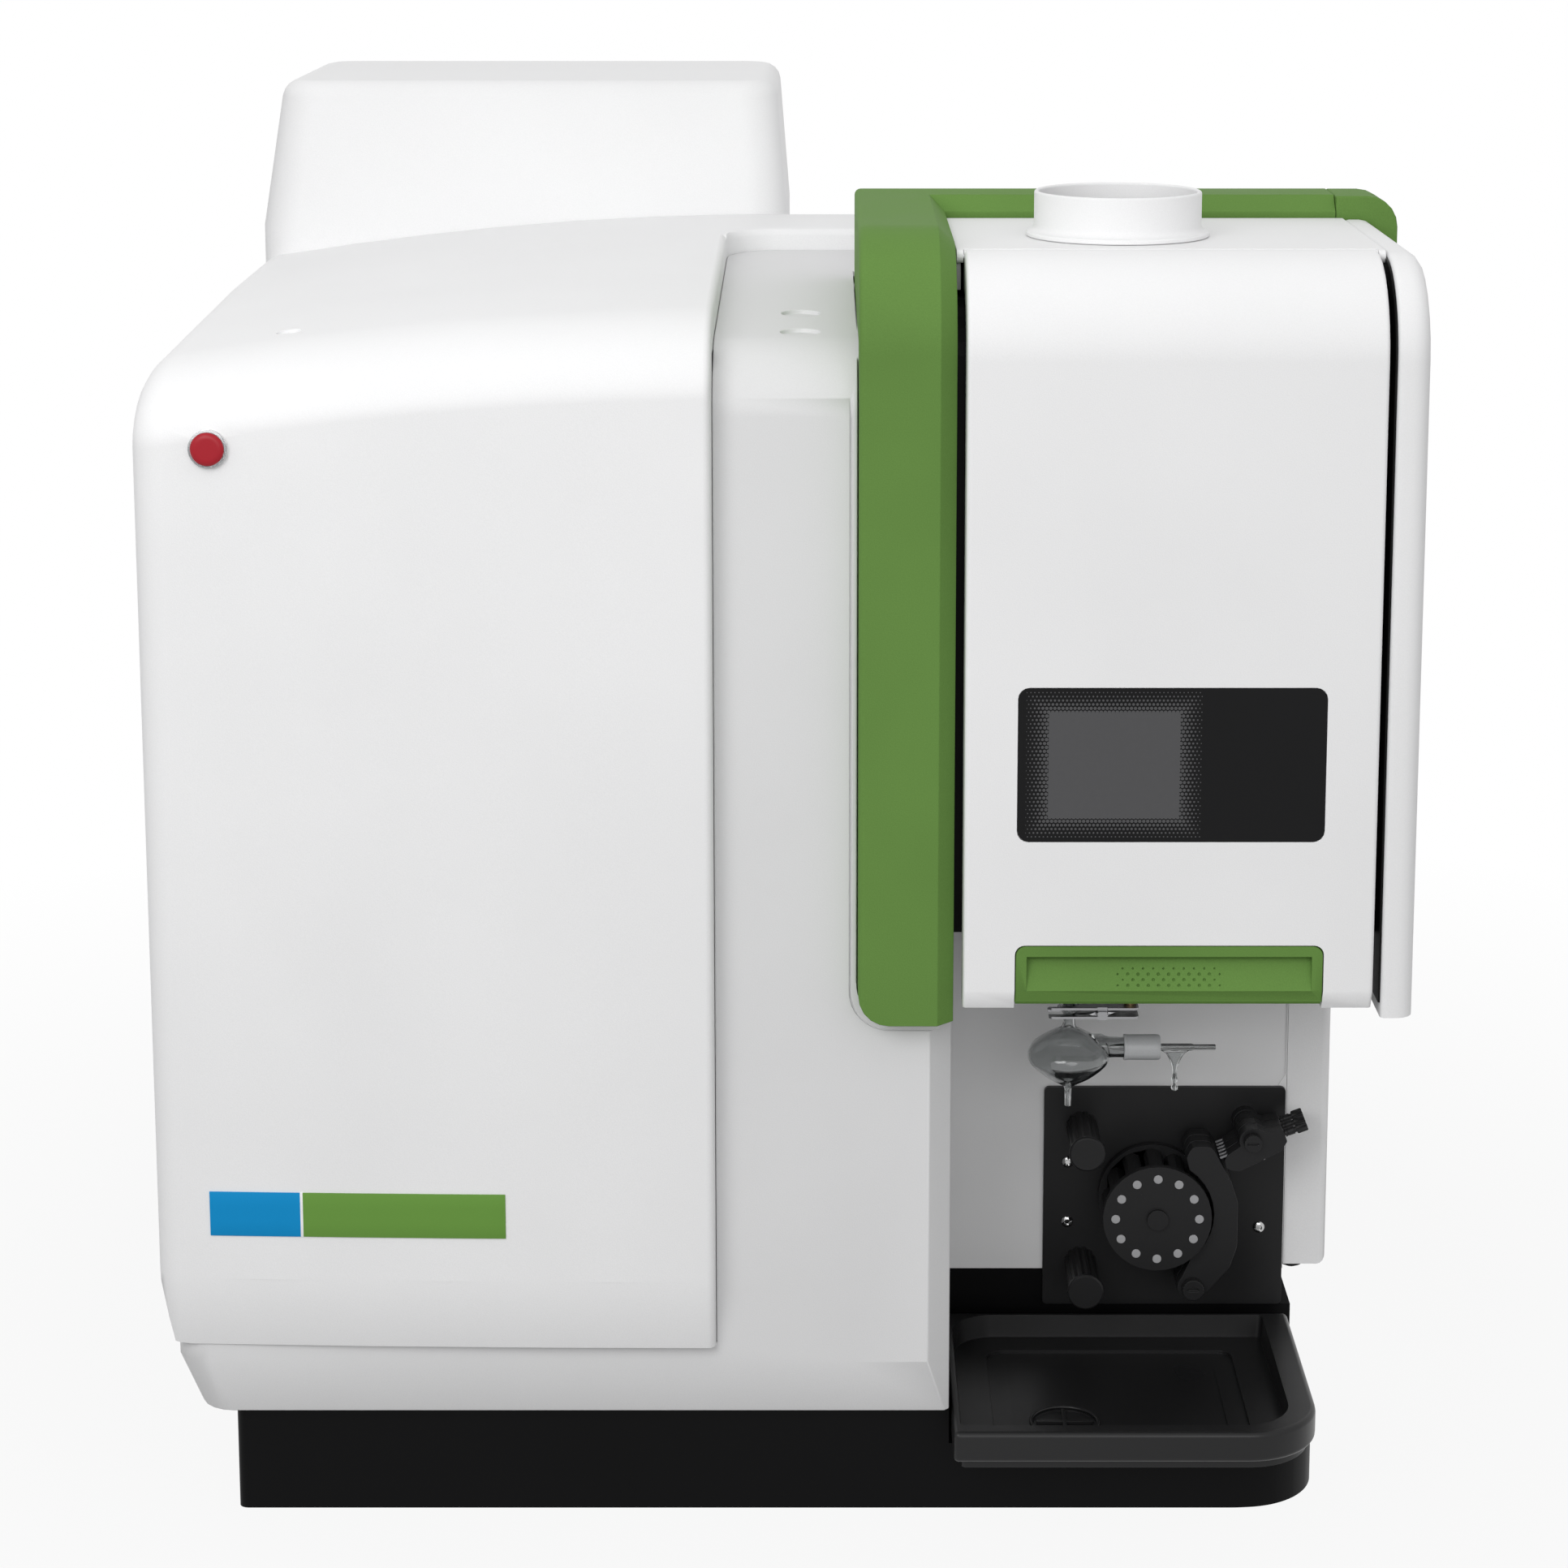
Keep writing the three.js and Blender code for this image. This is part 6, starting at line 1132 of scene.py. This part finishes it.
class SPECTROMETER_OT_button(bpy.types.Operator):
    """Turns the standby button and the clear bezel around it."""

    bl_idname = "spectrometer.button"
    bl_label = "Standby button"

    def execute(self, context):
        low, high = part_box("standby_button")
        middle = (low + high) / 2
        radius = (high.z - low.z) / 2
        stem, crown_rise = 9 * MM, 0.35 * MM
        crown = [
            (radius * share_of, 2.0 * MM + crown_rise * drop)
            for share_of, drop in ((0.845, 0.0), (0.80, 0.75), (0.6, 0.93), (0.3, 1.0))
        ]
        base = high.y - stem
        scale = (base - low.y) / crown[-1][1]
        rising = [(radius, 0), (radius, 0.7 * MM), (radius * 0.9, 1.7 * MM), *crown]
        profile = [(3 * MM, -stem), (3 * MM, 0), *[(wide, level * scale) for wide, level in rising]]
        cap = turned("standby_button_cap", profile, (middle.x, base, middle.z), FORWARD, sides=72)
        replacing(cap, "standby_button")
        low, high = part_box("button_bezel")
        bore, outer, back = radius + 0.3 * MM, (high.z - low.z) / 2, high.y - low.y
        web = back - 12.8 * MM
        sleeve, stem_hole, web_back = 8.5 * MM, 3.3 * MM, -web - 0.9 * MM
        ring = [
            (stem_hole, -back), (sleeve, -back), (sleeve, -web), (outer, -web), (outer, -0.9 * MM),
            (outer - 0.45 * MM, -0.25 * MM), (bore + 0.4 * MM, 0.0), (bore, -0.3 * MM), (bore, web_back),
            (stem_hole, web_back),
        ]
        place = (middle.x, low.y, middle.z)
        bezel = turned("button_bezel_ring", ring, place, FORWARD, sides=72, bored=True)
        replacing(bezel, "button_bezel")
        return {"FINISHED"}


PUMP_NODES = [
    "pump_plate", "pump_rotor", "arm_pivot_pin", "lever_pivot_pin", "tube_post_upper", "tube_post_lower",
    *[kind + place for kind in ("pressure_arm_", "cam_lever_") for place in PLACES],
]

# The adjusting screw: a stud, a ringed shank, a neck and a head
KNOB = in_mm([
    (1.6, -8), (1.6, 0.5), (2.7, 0.5), (2.7, 1.9), (2.45, 2.1), (2.45, 2.5), (2.7, 2.7), (2.7, 6.8),
    (2.5, 7.0), (2.1, 7.0), (2.1, 8.4), (2.9, 8.4), (3.4, 9.0), (3.4, 15.2), (3.0, 15.8), (0.6, 15.9),
])
PRONG = in_mm([(0.55, -5.6), (0.85, -5.3), (0.85, -1.6), (0.85, 0), (0.3, 0.2)])
ROLLER_END = in_mm([(2.9, -0.2), (2.9, 0.55), (2.65, 0.75), (1.2, 0.8)])

# Places of the plate's four screws from the rotor's axis, in millimetres
PLATE_SCREWS = ((-56, 21), (-56, -21), (74, 26), (73, -25))


def knob(place):
    """The adjusting screw, whose head is fluted by drawing in every other column of points."""
    piece = turned("adjusting_knob_" + place, KNOB, (0, 0, 0), sides=24)

    def in_flute(spot):
        column = round(math.degrees(math.atan2(spot.co.y, spot.co.x)) / 15)
        return spot.co.z > 8.9 * MM and spot.co.xy.length > 2.5 * MM and column % 2 == 0

    edit(piece, points=in_flute)
    drawn_in = 0.84
    bpy.ops.transform.resize(value=(drawn_in, drawn_in, 1.0), center_override=(0, 0, 0))
    object_mode()
    placed(piece, PIVOTS["screw_turn_" + place], KNOB_TURN)
    replacing(piece, "adjusting_screw_" + place, 24)


def prongs(place):
    """The two short prongs by which a lever's nose meets its arm."""
    nose = Vector(PIVOTS["lever_turn_" + place])
    for side, across in (("near", -2.8), ("far", 2.8)):
        start = nose + Vector(mm(-15.5, across, -10.6))
        piece = turned(f"lever_prong_{place}_{side}", PRONG, start, KNOB_TURN, sides=20)
        # The prongs' light grey is a painted highlight.
        added(piece, "worn_black", "lever_" + place)


def roller_ends():
    x, _, z = PIVOTS["rotor_spin"]
    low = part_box("pump_rotor")[0]
    ring_share = 0.768
    ring = ring_share * round_size("pump_rotor")[1]
    for index, (across, up) in enumerate(round_points(ring, 0, 330, 11)):
        place = (x + across, low.y + 3 * MM, z + up)
        piece = turned(f"roller_end_{index + 1:02d}", ROLLER_END, place, FORWARD, sides=32)
        added(piece, "roller_grey", "rotor")


def plate_screws(screw):
    x, _, z = PIVOTS["rotor_spin"]
    low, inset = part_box("pump_plate")[0], 4 * MM
    face = ray_depth(bpy.data.objects["pump_plate_finished"])(low.x + inset, low.z + inset)
    rise, socket = screw.head_height, screw.socket_radius
    dome = [
        (screw.head_radius * wide, rise * (0.25 + 0.75 * up)) for wide, up in round_points(1.0, 0, 60, 4)
    ]
    profile = [
        (screw.head_radius, -0.3 * MM), *dome, (socket * 1.1, rise), (socket, rise - 0.1 * MM),
        (socket * 0.9, rise - screw.socket_depth),
    ]
    for index, (across, up) in enumerate(PLATE_SCREWS):
        place = (x + across * MM, face, z + up * MM)
        piece = turned(f"plate_screw_{index + 1}", profile, place, FORWARD, sides=48)
        added(piece, "chrome")


class SPECTROMETER_OT_pump(bpy.types.Operator):
    """Finishes the pump and adds its grey roller ends and bright plate screws."""

    bl_idname = "spectrometer.pump"
    bl_label = "Pump"

    def execute(self, context):
        for node in PUMP_NODES:
            finer_copy(node, node + "_finished", settings("edge").small)
        roller_ends()
        plate_screws(settings("screw"))
        for place in PLACES:
            knob(place)
            prongs(place)
        return {"FINISHED"}


SIDE_TUBE = in_mm([(8.6, 12), (8.6, 21), (7.4, 23), (6.75, 25.5), (6.5, 28), (6.5, 39.6), (6.2, 40)])
END_CAP = in_mm([
    (7.9, 35), (8.3, 35.4), (8.3, 36.6), (8.0, 37.1), (8.15, 55.4), (7.95, 57.3), (7.4, 58.1),
    (6.9, 58.3), (2.7, 58.3), (2.7, 40.3), (6.8, 40.3), (6.8, 35),
])
NEBULIZER = in_mm([
    (0.5, 25), (1.1, 26), (1.9, 30), (2.3, 34), (2.3, 78.0), (2.15, 78.8), (1.8, 79.4), (1.75, 80),
    (1.75, 93.3), (1.5, 93.7),
])
NEBULIZER_BORE = in_mm([(0.3, 24), (0.7, 34), (0.7, 95)])
SIDE_ARM = in_mm([
    (1.2, 1.2, -29), (1.75, 1.75, -28.5), (2.2, 2.2, -27.2), (2.1, 2.1, -26.2), (1.5, 1.5, -25.2),
    (1.5, 1.5, -23.6), (2.1, 2.1, -22.2), (2.15, 2.15, -21.2), (1.6, 1.6, -19.4), (1.5, 1.5, -17.5),
    (1.6, 1.55, -14.4), (2.1, 1.8, -11.9), (3.0, 2.1, -9.6), (4.0, 2.2, -7.4), (5.1, 2.2, -5.5),
    (6.6, 2.2, -3.9), (8.2, 2.1, -2.8), (9.4, 1.9, -2.0), (9.6, 1.6, -1.2), (9.6, 1.4, 0),
])
SIDE_ARM_BORE = in_mm([
    (0.75, 0.75, -30), (0.75, 0.75, -15), (1.2, 0.95, -11.6), (2.2, 1.2, -9.0), (3.3, 1.35, -6.8),
    (4.6, 1.35, -4.6), (5.8, 1.2, -3.4),
])


def arc(radius, *turn):
    """Stations of a profile on a circle round the ball's centre."""
    return [(across, BALL_RISE + up) for across, up in round_points(radius, *turn)]


def chamber(glass, middle, side):
    belly = through([(wide * glass.radius, up * glass.radius) for wide, up in BELLY], 4)
    drain, neck, end = belly[0][0], belly[-1][0], -glass.drop
    ball = arc(BALL_RADIUS, -40, 50, 10)
    profile = [(drain - 0.4 * MM, end), (drain, end + 0.4 * MM), *belly, *ball]
    outer = turned("spray_chamber_blown", profile, middle, sides=glass.sides)
    bore = drain - glass.wall
    inside = [(bore, end - MM), (bore, belly[0][1]), *inset_run(belly, glass.wall)]
    inside.append((neck - glass.wall, 40 * MM))
    hollow = turned("hollow", inside, middle, sides=glass.sides)
    combined(outer, "UNION", turned("tube", SIDE_TUBE, side, TO_THE_RIGHT, 48))
    tube_bore = turned("tube_bore", in_mm([(5.3, 12), (5.3, 41)]), side, TO_THE_RIGHT, 48)
    combined(outer, "DIFFERENCE", hollow, tube_bore)
    replacing(outer, "spray_chamber", 50)


def nebulizer(side):
    body = turned("nebulizer_drawn", NEBULIZER, side, TO_THE_RIGHT, 40)
    bore = turned("bore", NEBULIZER_BORE, side, TO_THE_RIGHT, 24)
    place = side + Vector((68 * MM, 0, 0))
    combined(body, "UNION", placed(drawn("arm", SIDE_ARM, 36), place))
    combined(body, "DIFFERENCE", bore, placed(drawn("arm_bore", SIDE_ARM_BORE, 24), place))
    replacing(body, "nebulizer", 50)


def injector(middle):
    """The quartz injector, with the socket at its foot that sits on the chamber's ball."""
    rim = [
        (wide, BALL_RISE + up) for wide, up in in_mm([(7.3, -0.4), (7.6, -0.1), (7.6, 0.8), (7.3, 1.1)])
    ]
    tip = in_mm([(3.5, 152.5), (2.3, 152.5)])
    profile = [*rim, *arc(6.8 * MM, 10, 59, 8), *tip, *arc(5.5 * MM, 65, -4, 8)]
    replacing(turned("injector_drawn", profile, middle, sides=48, bored=True), "injector_tube", 50)


def torch():
    low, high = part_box("torch_tube")
    middle, radius = round_size("torch_tube")
    inner = radius - 1.2 * MM
    profile = [
        (inner + 0.3 * MM, low.z), (radius, low.z + 0.4 * MM), (radius, high.z - 0.5 * MM),
        (radius - 0.4 * MM, high.z), (inner, high.z - 0.2 * MM), (inner, low.z + 0.2 * MM),
    ]
    piece = turned("torch_tube_drawn", profile, (middle.x, middle.y, 0), bored=True)
    replacing(piece, "torch_tube", 50)


def clamp(middle, edge):
    """The pinch clamp, its lower fork close under the ball and its upper fork over the socket's rim."""
    lower = finer_copy("clamp_lower", "clamp_lower_pressed", edge)
    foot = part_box("clamp_lower")[0].z
    pivot = Vector(PIVOTS["clamp_open"])
    shift(lower, mm(0, 0, 4), lambda spot: spot.co.z < foot + 1.6 * MM)
    for across in (-7.6, 7.6):
        near, far = (pivot + Vector(mm(*spot)) for spot in ((-3.5, across - 1, -6), (3.5, across + 1, 2)))
        combined(lower, "DIFFERENCE", block("slot", near, far))
    upper = finer_copy("clamp_upper", "clamp_upper_pressed", edge)
    shift(
        upper, mm(0, 0, 2.7),
        lambda spot: spot.co.x > pivot.x + 8 * MM and spot.co.z < pivot.z + 2.5 * MM,
    )
    rim = middle + Vector((0, 0, 30 * MM))
    round_cut = turned("round_cut", in_mm([(6.9, 0), (6.9, 5)]), rim, sides=48)
    open_end = block("open_end", rim + Vector(mm(-16, -6.9, 0)), rim + Vector(mm(0, 6.9, 5)))
    combined(upper, "DIFFERENCE", round_cut, open_end)
    for piece in (lower, upper):
        dress(piece, "clamp_steel", "bronze")
        weigh_normals(piece)
    for face in upper.data.polygons:
        above, beyond = face.center.z - pivot.z, face.center.x > pivot.x + 10 * MM
        face.material_index = int(beyond and not 3.6 * MM < above < 5.6 * MM)


class SPECTROMETER_OT_glassware(bpy.types.Operator):
    """Blows the spray chamber and finishes its cap, nebulizer, clamp and torch."""

    bl_idname = "spectrometer.glassware"
    bl_label = "Glassware"

    def execute(self, context):
        edge, glass = settings("edge"), settings("glass")
        low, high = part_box("spray_chamber")
        middle = Vector((low.x + glass.radius, (low.y + high.y) / 2, low.z + glass.drop))
        side = middle + Vector((0, 0, glass.side_rise))
        chamber(glass, middle, side)
        replacing(turned("end_cap_frosted", END_CAP, side, TO_THE_RIGHT, 72, bored=True), "end_cap", 30)
        nebulizer(side)
        injector(middle)
        torch()
        finer_copy("torch_mount", "torch_mount_machined", edge.machined)
        clamp(middle, edge.pressed)
        return {"FINISHED"}


def seen_directly(tree):
    """1 for what the camera sees itself, in a reflection or through glass."""
    path = add_node(tree, "ShaderNodeLightPath").outputs
    first = calc(tree, "MAXIMUM", path["Is Camera Ray"], path["Is Transmission Ray"])
    return calc(tree, "MAXIMUM", first, path["Is Glossy Ray"])


def lamp(name, power, size, place, aim):
    light = bpy.data.lights.new(name, "AREA")
    light.energy, light.shape, light.size = power, "DISK", size
    piece = bpy.data.objects.new(name, light)
    piece.location = place
    piece.rotation_euler = (Vector(aim) - Vector(place)).to_track_quat("-Z", "Y").to_euler()
    bpy.context.scene.collection.objects.link(piece)


def studio(stage):
    """The light all round, and the white that is seen directly."""
    world = bpy.context.scene.world = bpy.data.worlds.new("studio")
    world.use_nodes = True
    tree = world.node_tree
    tree.nodes.clear()
    place = add_node(tree, "ShaderNodeTexCoord").outputs["Generated"]
    up = add_node(tree, "ShaderNodeSeparateXYZ", {0: place}).outputs["Z"]
    level = spread(tree, up, 0.0, 1.0, stage.level_light, stage.top_light)
    lit, white = (
        add_node(tree, "ShaderNodeBackground", {"Color": WHITE, "Strength": strength}).outputs[0]
        for strength in (level, 1.0)
    )
    either = add_node(tree, "ShaderNodeMixShader", {0: seen_directly(tree), 1: lit, 2: white})
    add_node(tree, "ShaderNodeOutputWorld", {"Surface": either.outputs[0]})


def pale_floor(stage):
    """A floor that takes the instrument's faint shadow and is white further out."""
    deselect()
    bpy.ops.mesh.primitive_circle_add(
        vertices=96, radius=6.0, fill_type="NGON", location=(0, 0, CAD_BOX[0][2] - 0.0002)
    )
    floor = settle(latest("floor"))
    material, tree, shader = new_material("Pale floor")
    shader.inputs["Base Color"].default_value = opaque(stage.floor)
    shader.inputs["Roughness"].default_value = 0.9
    place = add_node(tree, "ShaderNodeTexCoord").outputs["Object"]
    away = add_node(tree, "ShaderNodeVectorMath", {0: place}, operation="LENGTH").outputs["Value"]
    glow_share = spread(tree, away, stage.glow_start, stage.glow_end, stage.glow, 1.0)
    glow = add_node(tree, "ShaderNodeEmission", {"Color": WHITE, "Strength": 1.0}).outputs[0]
    share_seen = calc(tree, "MULTIPLY", seen_directly(tree), glow_share)
    either = add_node(tree, "ShaderNodeMixShader", {0: share_seen, 1: shader.outputs[0], 2: glow})
    feed(tree, tree.nodes["Material Output"].inputs["Surface"], either.outputs[0])
    floor.data.materials.append(material)


class SPECTROMETER_OT_stage(bpy.types.Operator):
    """Sets the floor, the lamps, the light all round and the camera."""

    bl_idname = "spectrometer.stage"
    bl_label = "Stage"

    def execute(self, context):
        stage = settings("stage")
        scene = context.scene
        scene.view_settings.view_transform = "Standard"
        studio(stage)
        pale_floor(stage)
        lamp("key_lamp", stage.key, 1.2, (-0.8, -2.0, 1.5), (0.0, 0.0, 0.45))
        lamp("front_lamp", stage.front, 2.4, (0.6, -4.2, 1.6), (0.0, 0.0, 0.4))
        lens = bpy.data.cameras.new("camera")
        lens.sensor_fit, lens.sensor_width = "HORIZONTAL", 36.0
        lens.lens = stage.lens
        lens.shift_x, lens.shift_y = -0.0217, -0.2003
        lens.clip_end = 50.0
        camera = scene.camera = bpy.data.objects.new("camera", lens)
        camera.location = (0.01625, -2.494, 1.050)
        camera.rotation_euler = (stage.pitch, 0.0, 0.0)
        scene.collection.objects.link(camera)
        return {"FINISHED"}


STEPS = [
    SPECTROMETER_OT_finishes,
    SPECTROMETER_OT_mouldings,
    SPECTROMETER_OT_trims,
    SPECTROMETER_OT_tray,
    SPECTROMETER_OT_plate,
    SPECTROMETER_OT_door_fittings,
    SPECTROMETER_OT_collar,
    SPECTROMETER_OT_button,
    SPECTROMETER_OT_pump,
    SPECTROMETER_OT_glassware,
    SPECTROMETER_OT_stage,
]


class SPECTROMETER_PT_panel(bpy.types.Panel):
    """Lists the pieces, one button each, with their settings."""

    bl_idname = "SPECTROMETER_PT_panel"
    bl_label = "Spectrometer"
    bl_space_type = "VIEW_3D"
    bl_region_type = "UI"
    bl_category = "Spectrometer"

    def draw(self, context):
        for step in STEPS:
            self.layout.operator(step.bl_idname)
        for name, kind in SETTINGS.items():
            box = self.layout.box()
            box.label(text=name.capitalize())
            for entry in kind.__annotations__:
                box.prop(settings(name), entry)


def register():
    for kind in SETTINGS.values():
        bpy.utils.register_class(kind)
    for name, kind in SETTINGS.items():
        setattr(bpy.types.Scene, "spectrometer_" + name, bpy.props.PointerProperty(type=kind))
    for step in STEPS:
        bpy.utils.register_class(step)
    bpy.utils.register_class(SPECTROMETER_PT_panel)


def unregister():
    bpy.utils.unregister_class(SPECTROMETER_PT_panel)
    for step in reversed(STEPS):
        bpy.utils.unregister_class(step)
    for name in SETTINGS:
        delattr(bpy.types.Scene, "spectrometer_" + name)
    for kind in reversed(SETTINGS.values()):
        bpy.utils.unregister_class(kind)


def main():
    register()
    for step in STEPS:
        group, name = step.bl_idname.split(".")
        getattr(getattr(bpy.ops, group), name)()
    object_mode()


if __name__ == "__main__":
    main()
